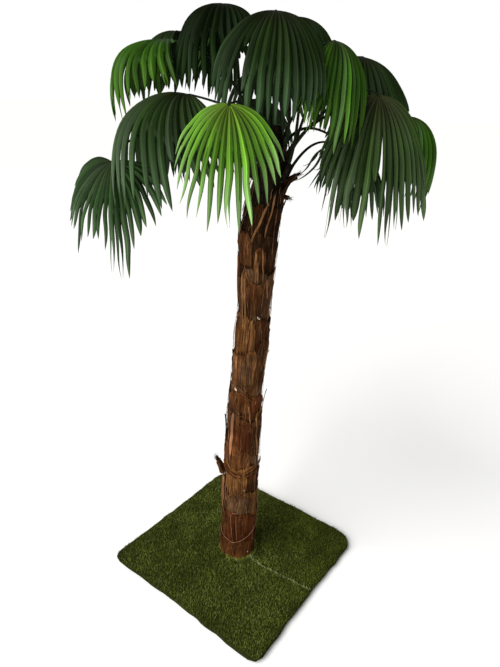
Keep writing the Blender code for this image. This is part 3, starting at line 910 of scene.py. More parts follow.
@dataclass
class Trunk:
    """The trunk: a core, overlapping sheets of fibre, raised strips, threads, hairs and ties."""

    form: TrunkForm
    seed: int = 7
    core_columns: int = 84
    core_rows: int = 170
    core_grooves: tuple[Ripple, ...] = (Ripple(0.0016, (11.0, 11.0, 6.0)), Ripple(0.0008, (34.0, 34.0, 9.0)))

    # Sheets: their courses, and the shape of one sheet
    ledges: tuple[float, ...] = (0.108, 0.236, 0.318, 0.424, 0.520, 0.640, 0.735, 0.850, 0.990, 1.125, 1.262,
                                 1.360, 1.440)
    overlap: float = 0.045
    extra_span: Span = (20.0, 46.0)
    turn_spread: float = 14.0
    edge_spread: float = 0.022
    course_lift: float = 0.0009
    scraps: int = 34  # short sheets dealt out between the courses, behind the placed patches
    scrap_top: float = 1.26
    scrap_heights: Span = (0.06, 0.15)
    scrap_spans: Span = (22.0, 62.0)
    scrap_lift: float = 0.0026
    scrap_tilt: float = 0.012
    patch_tilt: float = 0.008
    patched_heading: float = 306.0
    patched_half: float = 75.0
    degrees_per_column: float = 2.6
    rows_per_metre: float = 150.0
    sheet_thickness: float = 0.0012
    sheet_lift: float = 0.0010
    ledge_lift: float = 0.0034
    lip_lift: float = 0.0016
    end_lift: float = 0.0012
    end_drop: float = 0.030
    frays: tuple[Ripple, ...] = (Ripple(0.007, (40.0, 1.0, 0.0)), Ripple(0.014, (7.0, 1.0, 0.0), 4.0))
    drift: Ripple = Ripple(5.0, (9.0, 1.0, 0.0), 9.0)
    creases: tuple[Ripple, ...] = (Ripple(0.0012, (0.30, 1.0, 5.0)), Ripple(0.0024, (0.075, 1.0, 4.0)))
    fine_creases: Ripple = Ripple(0.0007, (0.85, 1.0, 8.0))
    # Sheets that end above these heights take darker finishes: painted shade and shadow of the crown on the
    # trunk's top
    upper_from: float = 1.20
    top_from: float = 1.33
    top_shares: tuple[float, ...] = (1, 0, 0, 0, 0, 0, 0)
    upper_shares: tuple[float, ...] = (0, 6, 3, 1, 1, 0, 0)
    lower_shares: tuple[float, ...] = (0, 1, 4, 4, 5, 2, 3)
    patches: tuple[Patch, ...] = (
        # the two highest patches carry the painted shade of the crown
        Patch(1.230, 1.330, 300, 60, BARK_DEEP_AND_CROWN_SHADE),
        Patch(1.236, 1.318, 344, 50, BARK_DEEP_AND_CROWN_SHADE, 0.0036),
        Patch(1.150, 1.250, 262, 52, BARK_UMBER, 0.0044),
        Patch(1.090, 1.205, 312, 34, BARK_CHESTNUT, 0.0020),
        Patch(1.000, 1.100, 305, 56, BARK_CHESTNUT, 0.0034),
        Patch(0.965, 1.126, 267, 34, BARK_FAWN, 0.0018),
        Patch(0.868, 0.984, 291, 46, BARK_FAWN, 0.0032),
        Patch(0.860, 0.985, 336, 34, BARK_UMBER, 0.0030),
        Patch(0.745, 0.862, 272, 44, BARK_CHESTNUT, 0.0034),
        Patch(0.752, 0.876, 312, 40, BARK_FAWN, 0.0028),
        Patch(0.752, 0.912, 352, 44, BARK_CHESTNUT, 0.0036),
        Patch(0.646, 0.728, 282, 76, BARK_CHESTNUT, 0.0046),
        Patch(0.655, 0.712, 352, 60, BARK_RUST, 0.0040),
        Patch(0.486, 0.608, 307, 60, BARK_RUST, 0.0036),
        Patch(0.500, 0.645, 264, 24, BARK_UMBER, 0.0020),
        Patch(0.530, 0.655, 6, 42, BARK_FAWN, 0.0022),
        Patch(0.500, 0.600, 220, 44, BARK_UMBER, 0.0064),
        Patch(0.312, 0.404, 294, 66, BARK_FAWN, 0.0034),
        Patch(0.318, 0.420, 354, 46, BARK_UMBER, 0.0040),
        Patch(0.226, 0.312, 304, 84, BARK_ASH, 0.0038),
        Patch(0.098, 0.232, 300, 132, BARK_RUST, 0.0040),
        Patch(0.013, 0.104, 300, 150, BARK_CHESTNUT, 0.0028),
    )
    # Strips, loose ends and pith
    strip_thickness: float = 0.0016
    strip_sink: float = 0.0012
    strip_crown: float = 0.0020
    strip_ridge: float = 0.0003
    strip_sway: Ripple = Ripple(3.0, (3.1, 3.0, 0.0))
    flap_thickness: float = 0.0010
    flap_lift: float = 0.0065
    flap_twist: float = 6.0
    flap_ripple: Ripple = Ripple(0.0014, (5.0, 6.0, 2.0))
    pith_lift: float = 0.0096
    pith_shape: tuple[float, float, float] = (0.45, 0.5, 1.2)
    pith_lumps: Ripple = Ripple(0.35, (900.0, 900.0, 900.0))
    flaps: tuple[Flap, ...] = (
        Flap(34.0, 0.625, 0.715, 0.0120, 0.014),
        Flap(208.0, 0.560, 0.610, 0.0140, 0.008),
        Flap(120.0, 0.880, 0.950, 0.0130, 0.012),
        Flap(160.0, 0.300, 0.360, 0.0130, 0.011),
        Flap(75.0, 1.150, 1.215, 0.0120, 0.012),
        Flap(26.0, 0.838, 0.862, 0.0150, 0.006),
        Flap(34.0, 1.335, 1.402, 0.0220, 0.026),
        Flap(14.0, 1.345, 1.398, 0.0200, 0.016),
        Flap(56.0, 1.340, 1.405, 0.0200, 0.020),
        Flap(40.0, 1.300, 1.342, 0.0160, 0.012),
        Flap(222.0, 0.350, 0.412, 0.0160, 0.016),
        Flap(236.0, 0.352, 0.404, 0.0120, 0.010),
    )
    pith: tuple[Pith, ...] = (
        Pith(319.0, 0.990, 0.0034, 20.0),
        Pith(324.0, 0.986, 0.0026, -30.0),
        Pith(270.0, 0.735, 0.0052, 52.0),
        Pith(318.0, 0.342, 0.0022, 10.0),
        Pith(341.0, 0.052, 0.0030, 40.0),
        Pith(112.0, 0.852, 0.0032, 30.0),
    )
    tan_strips: tuple[Strip, ...] = (
        Strip(1.126, 0.965, 258, 266, 0.0060),
        Strip(1.122, 0.972, 268, 276, 0.0062),
        Strip(1.198, 1.098, 300, 306, 0.0062),
        Strip(1.168, 1.100, 309, 312, 0.0046),
        Strip(1.208, 1.100, 319, 327, 0.0030),
        Strip(1.332, 1.222, 319, 287, 0.0056),
        Strip(1.362, 1.240, 338, 322, 0.0036),
        Strip(0.852, 0.806, 259, 263, 0.0066),
        Strip(0.742, 0.700, 279, 340, 0.0038),
        Strip(0.730, 0.690, 284, 334, 0.0026),
        Strip(0.680, 0.610, 320, 326, 0.0044),
        Strip(0.640, 0.478, 347, 358, 0.0056),
        Strip(1.246, 1.050, 96, 104, 0.0070),
        Strip(0.960, 0.790, 128, 120, 0.0064),
        Strip(0.590, 0.430, 62, 70, 0.0078),
        Strip(1.020, 0.880, 190, 182, 0.0060),
        Strip(0.560, 0.350, 168, 176, 0.0072),
        Strip(1.180, 1.000, 214, 206, 0.0058),
        Strip(0.900, 0.760, 24, 16, 0.0062),
        Strip(0.360, 0.240, 130, 140, 0.0070),
    )
    pink_strips: tuple[Strip, ...] = (
        Strip(0.652, 0.474, 268, 264, 0.0105),
        Strip(1.112, 1.048, 341, 348, 0.0046),
        Strip(0.376, 0.268, 236, 242, 0.0046),
        Strip(0.700, 0.560, 92, 84, 0.0096),
        Strip(0.300, 0.160, 40, 46, 0.0080),
        Strip(0.480, 0.330, 205, 200, 0.0074),
    )

    # Ties, threads and hairs
    tie_lift: float = 0.0092
    tie_steps: int = 6
    tie_ends: float = 0.45  # thickness of a tie's ends as a share of its middle
    tie_taper: float = 4.0  # points over which it thins
    threads: int = 165  # of each tone
    thread_lows: Span = (0.03, 1.36)
    thread_lengths: Span = (0.03, 0.12)
    thread_widths: Span = (0.0007, 0.0016)
    thread_lean: float = 14.0
    thread_taper: float = 0.7
    thread_thickness: float = 0.0009
    thread_lift: float = 0.0078
    thread_sway: Ripple = Ripple(5.0, (1.0, 3.0, 0.0))
    thread_waves: Ripple = Ripple(0.0014, (1.0, 5.0, 0.0), 3.0)
    hairs: int = 520
    hair_spread: float = 0.010
    hair_lift: float = 0.0064
    hair_turn: float = 30.0
    hair_rises: Span = (40.0, 88.0)
    hair_lengths: Span = (0.008, 0.024)
    hair_stoutness: Span = (0.6, 1.2)
    hair_bend: float = 0.35
    bands: tuple[Tie, ...] = (
        Tie(((232, 0.436), (250, 0.424), (276, 0.409), (306, 0.408), (340, 0.420), (10, 0.436),
             (40, 0.440)), 0.0030),
        Tie(((236, 0.420), (262, 0.402), (292, 0.394), (326, 0.400), (0, 0.416)), 0.0026),
        Tie(((274, 0.738), (296, 0.728), (322, 0.712), (346, 0.700)), 0.0026),
        Tie(((262, 0.650), (284, 0.642), (306, 0.640)), 0.0024),
    )
    ties: tuple[Tie, ...] = (
        Tie(((300, 0.235), (284, 0.236), (279, 0.222), (284, 0.160), (290, 0.102))),
        Tie(((297, 0.226), (299, 0.170), (303, 0.117))),
        Tie(((228, 0.140), (240, 0.122), (257, 0.112), (290, 0.101), (312, 0.111), (345, 0.131), (12, 0.152),
             (40, 0.166))),
        Tie(((254, 0.342), (259, 0.356), (265, 0.344), (263, 0.318), (262, 0.286), (258, 0.282), (254, 0.300),
             (253, 0.330), (254, 0.342))),
        Tie(((222, 0.372), (229, 0.330), (231, 0.280), (240, 0.240), (254, 0.208))),
        Tie(((240, 0.428), (262, 0.414), (284, 0.402), (300, 0.400)), 0.0010),
        Tie(((60, 0.190), (96, 0.172), (130, 0.180), (170, 0.166), (204, 0.176))),
        Tie(((100, 0.260), (106, 0.210), (104, 0.175))),
    )

    def build(self) -> None:
        """Builds every piece of the trunk."""
        self.build_core()
        self.build_sheets()
        self.build_strips("trunk_strips_tan", self.tan_strips, STRIP_TAN)
        self.build_strips("trunk_strips_pink", self.pink_strips, STRIP_PINK)
        self.build_flaps()
        self.build_ties("trunk_ties", self.ties, STRIP_PINK)
        self.build_ties("trunk_bands", self.bands, BARK_CHESTNUT)
        self.build_threads()
        self.build_pith()
        self.build_hairs()

    def build_core(self) -> None:
        """The trunk's own body, with upright grooves, from its flat foot to its tip."""
        foot = BOARD_TOP + GAP
        top = self.form.profile[-1][0] + BOARD_TOP + GAP

        def place(around: float, share: float) -> Vector:
            heading = 360.0 * around
            height = foot + (top - foot) * share
            out = heading_vector(heading)
            relief = sum(groove.at(out.x, out.y, height) for groove in self.core_grooves)
            return self.form.surface(heading, height, relief)

        mesh = bmesh.new()
        lay_grid(mesh, self.core_columns, self.core_rows, place)
        bmesh.ops.remove_doubles(mesh, verts=mesh.verts, dist=SHARED_EDGE)
        bmesh.ops.holes_fill(mesh, edges=[edge for edge in mesh.edges if edge.is_boundary], sides=0)
        # the core above top_from is painted darker: the crown's shadow
        for face in mesh.faces:
            face.material_index = int(face.calc_center_median().z > self.top_from)
        settle(finish_mesh("trunk_core", mesh, [BARK_UMBER.material(), BARK_CROWN_SHADOW.material()], crease=50.0),
               "trunk_fibre", "trunk")

    def build_sheets(self) -> None:
        """Overlapping sheets of fibre: each stands out at its upper edge and is tucked in at its foot."""
        dice = random.Random(self.seed)
        meshes = {finish: bmesh.new() for finish in SHEET_FINISHES}
        foot = BOARD_TOP + GAP
        for number, ledge in enumerate(self.ledges):
            low = max(foot, (self.ledges[number - 1] if number else foot) - self.overlap)
            count = 3 + number % 2
            turn = dice.uniform(0.0, 360.0)
            for side in range(count):
                span = 360.0 / count + dice.uniform(*self.extra_span)
                heading = turn + 360.0 * side / count + dice.uniform(-self.turn_spread, self.turn_spread)
                high = ledge + dice.uniform(-self.edge_spread, self.edge_spread)
                sheet = Patch(low, high, heading, span, self.pick(ledge, dice), side * self.course_lift)
                self.add_sheet(meshes, sheet, self.edge_spread, dice)
        for _ in range(self.scraps):
            low = dice.uniform(foot, self.scrap_top)
            high = low + dice.uniform(*self.scrap_heights)
            heading, span = dice.uniform(0.0, 360.0), dice.uniform(*self.scrap_spans)
            scrap = Patch(low, high, heading, span, self.pick(high, dice), self.scrap_lift)
            if abs(turn_to(self.patched_heading, heading)) > self.patched_half:
                self.add_sheet(meshes, scrap, self.scrap_tilt, dice)
        for patch in self.patches:
            self.add_sheet(meshes, patch, self.patch_tilt, dice)
        for finish, mesh in meshes.items():
            name = finish.name.replace("bark", "trunk_sheets")
            settle(finish_mesh(name, mesh, [finish.material()], wall=self.sheet_thickness, offset=-1.0),
                   "trunk_fibre")

    def pick(self, height: float, dice: random.Random) -> FibreFinish:
        """Draws the finish of a sheet that ends at a height."""
        shares = self.upper_shares if height > self.upper_from else self.lower_shares
        return dice.choices(SHEET_FINISHES, self.top_shares if height > self.top_from else shares)[0]

    def add_sheet(self, meshes: dict[FibreFinish, Mesh], sheet: Patch, spread: float,
                  dice: random.Random) -> None:
        """Adds one sheet.

        Args:
            meshes: the mesh of each finish.
            sheet: its place and its finish.
            spread: how much higher or lower its upper edge can be at its ends.
            dice: draws that, and the pattern of its creases and frayed edge.
        """
        tilt = dice.uniform(-spread, spread)
        phase = dice.random() * PATTERNS
        columns = max(8, round(sheet.span / self.degrees_per_column))
        rows = max(8, round((sheet.high - sheet.low) * self.rows_per_metre))

        def place(across: float, share: float) -> Vector:
            side = 2.0 * across - 1.0
            frayed = sheet.high + tilt * side
            for fray in self.frays:
                frayed += fray.at(across, phase)
            top = frayed - self.end_drop * abs(side) ** 5
            height = sheet.low + (top - sheet.low) * share
            turn = sheet.heading + 0.5 * sheet.span * side + self.drift.at(height, phase) * abs(side)
            crease = sum(crease.at(across * sheet.span, phase, height) for crease in self.creases)
            fine = self.fine_creases.at(across * sheet.span, phase, height)
            ledge = self.ledge_lift * smooth(share, 0.35, 1.0) + self.lip_lift * smooth(share, 0.88, 1.0)
            edge = self.end_lift * smooth(abs(side), 0.80, 1.0)
            lift = self.sheet_lift + sheet.lift + ledge + edge + crease + fine
            return self.form.surface(turn, height, lift)

        lay_grid(meshes[sheet.finish], columns, rows, place)

    def build_strips(self, name: str, strips: Sequence[Strip], finish: FibreFinish) -> None:
        """Raised strips with a rounded section and pointed ends.

        Args:
            name: the piece's name.
            strips: where they are.
            finish: their finish.
        """
        mesh = bmesh.new()
        for number, strip in enumerate(strips):
            def place(share: float, across: float) -> Vector:
                side = 2.0 * across - 1.0
                height = strip.top + (strip.foot - strip.top) * share
                ends = smooth(share, 0.0, 0.10) * (0.35 + 0.65 * smooth(1.0 - share, 0.0, 0.25))
                heading = strip.heading + turn_to(strip.heading, strip.foot_heading) * share
                half = math.degrees(0.5 * strip.width * ends / self.form.radius(height))
                crown = self.strip_crown * (1.0 - side * side) * ends
                ridge = self.strip_ridge * math.sin(side * 9.0 + number)
                return self.form.surface(heading + self.strip_sway.at(number, share) + half * side, height,
                                         strip.lift + crown + ridge - self.strip_sink)

            lay_grid(mesh, 22, 8, place)
        settle(finish_mesh(name, mesh, [finish.material()], 70.0, self.strip_thickness), "trunk_fibre")

    def build_flaps(self) -> None:
        """Sheet ends that have come loose and point up and out."""
        mesh = bmesh.new()
        for number, flap in enumerate(self.flaps):
            def place(share: float, across: float) -> Vector:
                side = 2.0 * across - 1.0
                height = flap.low + (flap.high - flap.low) * share
                narrow = 1.0 - 0.92 * share ** 2.2
                half = math.degrees(0.5 * flap.width * narrow / self.form.radius(height))
                lift = self.flap_lift + flap.reach * share ** 1.7 + self.flap_ripple.at(number, share, side)
                return self.form.surface(flap.heading + half * side + self.flap_twist * share, height, lift)

            lay_grid(mesh, 14, 6, place)
        settle(finish_mesh("trunk_loose_ends", mesh, [HAIR_BROWN.material()], wall=self.flap_thickness),
               "trunk_fibre")

    def build_ties(self, name: str, ties: Sequence[Tie], finish: FibreFinish) -> None:
        """Thin raised lines where the wrapping is tied and folded over.

        Args:
            name: the piece's name.
            ties: where they are.
            finish: their finish.
        """
        mesh = bmesh.new()
        for tie in ties:
            points = []
            for (heading, height), (next_heading, next_height) in zip(tie.places, tie.places[1:]):
                for step in range(self.tie_steps):
                    share = step / self.tie_steps
                    points.append(self.form.surface(heading + turn_to(heading, next_heading) * share,
                                                    height + (next_height - height) * share, self.tie_lift))
            points.append(self.form.surface(*tie.places[-1], self.tie_lift))
            softened = [(a + b * 2.0 + c) / 4.0 for a, b, c in zip(points, points[1:], points[2:])]
            line = [points[0], *softened, points[-1]]
            ends = (min(number, len(line) - 1 - number) for number in range(len(line)))
            radii = [tie.radius * (self.tie_ends + (1.0 - self.tie_ends) * smooth(end, 0.0, self.tie_taper))
                     for end in ends]
            sweep(mesh, line, radii, 7)
        settle(finish_mesh(name, mesh, [finish.material()], crease=70.0), "trunk_fibre")

    def build_threads(self) -> None:
        """Single fibres that lie on the wrapping, in two tones."""
        dice = random.Random(self.seed + 1)
        for name, finish in (("trunk_threads_pale", THREAD_PALE), ("trunk_threads_dark", HAIR_BROWN)):
            mesh = bmesh.new()
            for _ in range(self.threads):
                heading = dice.uniform(0.0, 360.0)
                low = dice.uniform(*self.thread_lows)
                length = dice.uniform(*self.thread_lengths)
                lean = dice.uniform(-self.thread_lean, self.thread_lean)
                width = dice.uniform(*self.thread_widths)
                phase = dice.uniform(0.0, 40.0)

                def place(along: float, across: float) -> Vector:
                    height = low + length * along
                    aside = width * (across - 0.5) * (1.0 - self.thread_taper * along)
                    half = math.degrees(aside / self.form.radius(height))
                    turn = heading + lean * along + self.thread_sway.at(phase, along) + half
                    lift = self.thread_lift + self.thread_waves.at(phase, along)
                    return self.form.surface(turn, height, lift)

                lay_grid(mesh, 9, 1, place)
            settle(finish_mesh(name, mesh, [finish.material()], wall=self.thread_thickness), "trunk_fibre")

    def build_pith(self) -> None:
        """Small white ends of pith that show at the ledges."""
        mesh = bmesh.new()
        for pith in self.pith:
            made = bmesh.ops.create_icosphere(mesh, subdivisions=2, radius=pith.size)["verts"]
            turn = (Matrix.Translation(self.form.surface(pith.heading, pith.height, self.pith_lift))
                    @ Matrix.Rotation(math.radians(pith.heading), 4, "Z")
                    @ Matrix.Rotation(math.radians(pith.lean), 4, "X")
                    @ Matrix.Diagonal((*self.pith_shape, 1.0)))
            for vertex in made:
                vertex.co = turn @ (vertex.co * (1.0 + self.pith_lumps.at(*vertex.co)))
        settle(finish_mesh("trunk_pith", mesh, [PITH_WHITE.material()]), "trunk_fibre")

    def build_hairs(self) -> None:
        """Short stray fibres along the ledges."""
        dice = random.Random(self.seed + 2)
        places = []
        for _ in range(self.hairs):
            heading = dice.uniform(0.0, 360.0)
            height = dice.choice(self.ledges) + dice.gauss(0.0, self.hair_spread)
            root = self.form.surface(heading, height, self.hair_lift)
            out = heading_vector(heading + dice.gauss(0.0, self.hair_turn), dice.uniform(*self.hair_rises))
            length, stoutness = dice.uniform(*self.hair_lengths), dice.uniform(*self.hair_stoutness)
            places.append(hair_place(root, out, length, stoutness, dice))
        hairs = [(Scatter(hair_shape(self.hair_bend)), np.array(places))]
        settle(scattered_piece("trunk_hairs", hairs, HAIR_BROWN.material()), "trunk_fibre")


def hair_shape(bend: float) -> Mesh:
    """A hair of unit length along +Z that bends towards +X.

    Args:
        bend: how far its tip moves aside.

    Returns:
        The mesh.
    """
    shape = bmesh.new()
    shares = [step / 4 for step in range(5)]
    points = [Vector((bend * share ** 2, 0.0, share)) for share in shares]
    sweep(shape, points, [HAIR_RADIUS * (1.0 - HAIR_TAPER * share) for share in shares], 3)
    bmesh.ops.recalc_face_normals(shape, faces=shape.faces)
    return shape


def hair_place(root: Vector, out: Vector, length: float, stoutness: float, dice: random.Random) -> np.ndarray:
    """Gives the matrix that puts a hair in place.

    Args:
        root: where it grows.
        out: its direction.
        length: its length.
        stoutness: its thickness as a share of a middling one.
        dice: draws its turn about its own line.

    Returns:
        A 4 x 4 matrix.
    """
    thick = HAIR_THICKNESS * stoutness
    upright = out.to_track_quat("Z", "Y").to_matrix().to_4x4()
    turn = upright @ Matrix.Rotation(dice.uniform(0.0, math.tau), 4, "Z")
    size = Matrix.Diagonal((max(thick, length * HAIR_SWEEP), thick, length, 1.0))
    return np.array(Matrix.Translation(root) @ turn @ size)


@dataclass(frozen=True)
class Tuft:
    """A frayed stub of fibre that stands out of the trunk."""

    name: str
    height: float
    heading: float
    rise: float
    length: float
    radius: float
    # by default the darker fibre: painted shade of the crown over the upper stubs
    finish: FibreFinish = BARK_DEEP_AND_CROWN_SHADE
    hairs: Span = (0.006, 0.017)  # shortest and longest

    def line(self, form: TrunkForm) -> tuple[list[Vector], list[float]]:
        """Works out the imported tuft.

        Args:
            form: the trunk that it stands on.

        Returns:
            Its centre line, and its radius at each point.
        """
        along = heading_vector(self.heading, self.rise)
        clear = form.radius(self.height) + self.radius * abs(math.sin(math.radians(self.rise))) + 3.0 * GAP
        start = form.centre(self.height) + heading_vector(self.heading) * clear
        shares = (0.0, 0.5, 1.0)
        return ([start + along * self.length * share for share in shares],
                [self.radius * (1.0 - TUFT_TAPER * share) for share in shares])


TUFTS = (
    Tuft("fibre_tuft_upper", 1.388, 36, 32, 0.046, 0.0080),
    Tuft("fibre_tuft_middle", 1.347, 36, -12, 0.020, 0.0060),
    Tuft("fibre_tuft_lower", 0.385, 216, 64, 0.050, 0.0080, BARK_UMBER, (0.009, 0.024)),
)


@dataclass
class Tufts:
    """The frayed stubs: a torn rib of bark and the hairs that burst out of it."""

    form: TrunkForm
    seed: int = 23
    ribs: int = 6
    rib_turn: float = 0.3
    rib_reaches: Span = (0.62, 0.98)
    rib_sunk: float = 1.6  # depth of a rib's foot in the trunk, in radii
    rib_steps: int = 6
    hairs_per_metre: float = 12000.0
    hair_splay: Span = (0.15, 1.05)
    hair_stoutness: Span = (0.5, 1.0)
    hair_bend: float = 0.30

    def build(self) -> None:
        """Builds each tuft in place of its node."""
        dice = random.Random(self.seed)
        for tuft in TUFTS:
            points, _radii = tuft.line(self.form)
            along = (points[-1] - points[0]).normalized()
            mesh = bmesh.new()
            for rib in range(self.ribs):
                turn = math.tau * rib / self.ribs + dice.uniform(-self.rib_turn, self.rib_turn)
                reach = tuft.length * dice.uniform(*self.rib_reaches)
                self.add_rib(mesh, tuft, points[0], along, turn, reach)
            bmesh.ops.recalc_face_normals(mesh, faces=mesh.faces)
            settle(finish_mesh(f"{tuft.name}_ribs", mesh, [tuft.finish.material()]), "tuft_fibre", tuft.name)
            places = []
            for _ in range(round(self.hairs_per_metre * tuft.length)):
                share = dice.uniform(0.0, 1.0) ** 0.6
                spin = Vector((dice.gauss(0, 1), dice.gauss(0, 1), dice.gauss(0, 1))).normalized()
                root = points[0].lerp(points[-1], share) + spin * tuft.radius * 0.5 * (1.0 - 0.6 * share)
                out = (along + spin * dice.uniform(*self.hair_splay)).normalized()
                length, stoutness = dice.uniform(*tuft.hairs), dice.uniform(*self.hair_stoutness)
                places.append(hair_place(root, out, length, stoutness, dice))
            hairs = [(Scatter(hair_shape(self.hair_bend)), np.array(places))]
            settle(scattered_piece(f"{tuft.name}_hairs", hairs, HAIR_BROWN.material()), "tuft_fibre")

    def add_rib(self, mesh: Mesh, tuft: Tuft, foot: Vector, along: Vector, turn: float,
                reach: float) -> None:
        """Adds one torn rib of bark, which leans out from the tuft's middle line.

        Args:
            mesh: the mesh that it joins.
            tuft: its tuft.
            foot: where the tuft leaves the trunk.
            along: the tuft's direction.
            turn: the rib's place round that line.
            reach: how far it stands out.
        """
        aside = (along.orthogonal() @ Matrix.Rotation(turn, 3, along)).normalized()
        sunk = tuft.radius * self.rib_sunk
        root = foot - along * tuft.radius * self.rib_sunk
        line, sizes = [], []
        for step in range(self.rib_steps + 1):
            share = step / self.rib_steps
            out = 1.10 * (1.0 - share) + 0.80 * share ** 2
            line.append(root + along * (reach + sunk) * step / self.rib_steps + aside * tuft.radius * out)
            sizes.append(tuft.radius * (1.15 - 0.10 * step))
        sweep(mesh, line, sizes, 8, flatness=0.55)


# ---------------------------------------------------------------- crown


@dataclass(frozen=True)
class Run:
    """Fingers side by side in one leaf that are longer or shorter than the rest, or hang aside."""

    first: float  # share across the fan
    last: float
    length: float  # share of the length that the fingers would have
    sway: float = 0.0
    notch: float = 1.0  # most of the reach that they are joined along
    slack: float = 0.0  # how much more they turn down; below 0 they stand out


@dataclass(frozen=True)
class Frond:
    """Place and hang of one fan leaf."""

    bearing: float  # from the crown's axis to the hub
    reach: float  # from the crown's axis to the hub
    height: float  # of the hub above the ground
    heading: float  # of the blade's middle finger as it leaves the hub
    tilt: float  # rise of the blade's middle finger as it leaves the hub
    length: float  # of the blade's longest finger, from the hub
    spread: float  # angle that the fan opens to
    droop: float  # how strongly the fingers turn down along their length
    tone: LeafTone
    lag: float = 1.0  # above 1 the blade stays level for longer and then turns down faster
    pull_heading: float = 0.0
    pull: float = 0.0  # sideways share of the direction that the fingers turn to
    arrival: float = 0.0  # rise of the stalk as it reaches the hub
    runs: tuple[Run, ...] = ()  # fingers that differ from the rest of the blade

    @property
    def hub(self) -> Vector:
        """Place of the hub."""
        aside = heading_vector(self.bearing) * self.reach
        return Vector((CROWN_AXIS[0] + aside.x, CROWN_AXIS[1] + aside.y, self.height))


PLAIN_RUN = Run(0.0, 1.0, 1.0)

FRONDS = (
    Frond(286, 0.319, 1.589, 304, -40, 0.287, 238, 2.5, LeafTone.BRIGHT, lag=0.7, arrival=-15,
          runs=(Run(0.0, 0.36, 1.0, 0.0, 0.24), Run(0.62, 1.0, 1.0, 0.0, 0.34))),
    Frond(299, 0.121, 1.794, 311, -7, 0.344, 230, 3.6, LeafTone.DUSK, lag=1.12, pull_heading=226,
          pull=0.07, arrival=10, runs=(Run(0.31, 0.345, 0.45), Run(0.42, 0.46, 0.90), Run(0.54, 0.80, 0.88))),
    Frond(29, 0.270, 1.624, 305, -23, 0.420, 228, 3.2, LeafTone.OLIVE, lag=0.82,
          runs=(Run(0.0, 0.10, 0.58, 0.0, 0.34), Run(0.10, 0.24, 0.76, 0.0, 0.36),
                Run(0.48, 0.52, 0.62, 0.0, 0.26))),
    Frond(228, 0.232, 1.604, 235, 11, 0.425, 204, 2.8, LeafTone.DARK, pull_heading=39, pull=0.42,
          arrival=10),
    Frond(188, 0.171, 1.827, 268, 0, 0.304, 215, 4.4, LeafTone.NIGHT, lag=1.36, arrival=15,
          runs=(Run(0.77, 0.85, 0.62),)),
    Frond(190, 0.334, 1.741, 228, -2, 0.348, 184, 4.2, LeafTone.FRESH, lag=1.96, pull_heading=36,
          pull=0.28, arrival=5),
    Frond(12, 0.150, 1.743, 346, -9, 0.320, 151, 3.5, LeafTone.FRESH, lag=0.92, pull_heading=218,
          pull=0.18, arrival=10),
    Frond(222, 0.439, 1.426, 284, -46, 0.286, 229, 2.5, LeafTone.PINE, lag=1.14, arrival=-62,
          runs=(Run(0.0, 0.29, 0.95), Run(0.29, 0.39, 1.02), Run(0.39, 0.50, 0.80), Run(0.50, 0.56, 1.0),
                Run(0.56, 0.70, 1.20, 5.0), Run(0.70, 1.0, 0.98))),
    Frond(74, 0.324, 1.727, 6, -10, 0.352, 243, 3.15, LeafTone.DUSK, lag=1.15, pull_heading=5, pull=0.16),
    Frond(61, 0.446, 1.573, 27, 2, 0.325, 188, 4.1, LeafTone.FRESH, lag=1.06, pull_heading=190,
          pull=0.21, arrival=-10),
    Frond(60, 0.204, 1.489, 26, -8, 0.200, 276, 2.2, LeafTone.LOOSE, arrival=-5,
          runs=(Run(0.0, 0.13, 1.28, -34.0, slack=-0.85), Run(0.13, 0.30, 1.50, -18.0, slack=-0.40),
                Run(0.82, 1.0, 1.20, 28.0, slack=-0.95))),
    Frond(170, 0.444, 1.780, 196, 5, 0.280, 220, 3.2, LeafTone.DARK, arrival=5),
    Frond(98, 0.101, 1.807, 16, 3, 0.300, 220, 3.2, LeafTone.DUSK, arrival=20),
    Frond(178, 0.328, 1.553, 206, 0, 0.320, 220, 3.2, LeafTone.DARK, pull_heading=36, pull=0.20,
          arrival=-10),
    Frond(130, 0.250, 1.699, 123, 5, 0.295, 215, 3.0, LeafTone.DARK, arrival=5, runs=(Run(0.0, 0.34, 0.80),)),
    Frond(150, 0.396, 1.790, 158, 5, 0.275, 219, 3.2, LeafTone.SHADE, arrival=5,
          runs=(Run(0.15, 0.24, 0.50),)),
    Frond(94, 0.436, 1.692, 94, 0, 0.300, 220, 3.2, LeafTone.FRESH),
    Frond(155, 0.440, 1.550, 166, -5, 0.270, 220, 3.2, LeafTone.DARK, arrival=-15),
    Frond(133, 0.441, 1.598, 137, -10, 0.305, 216, 3.0, LeafTone.DARK, arrival=-10),
    Frond(84, 0.410, 1.450, 84, -8, 0.280, 216, 3.0, LeafTone.DARK, arrival=-25),
)


def turned(direction: Vector, pull: Vector, amount: float) -> Vector:
    """Swings a direction towards the pull.

    Args:
        direction: a unit vector.
        pull: the unit vector that it swings towards.
        amount: 0 leaves it as it is, and a large amount reaches the pull.

    Returns:
        The new unit vector.
    """
    angle = direction.angle(pull)
    aside = (direction - pull * direction.dot(pull)).normalized()
    left = 2.0 * math.atan(math.tan(angle / 2.0) * math.exp(-amount))
    return pull * math.cos(left) + aside * math.sin(left)


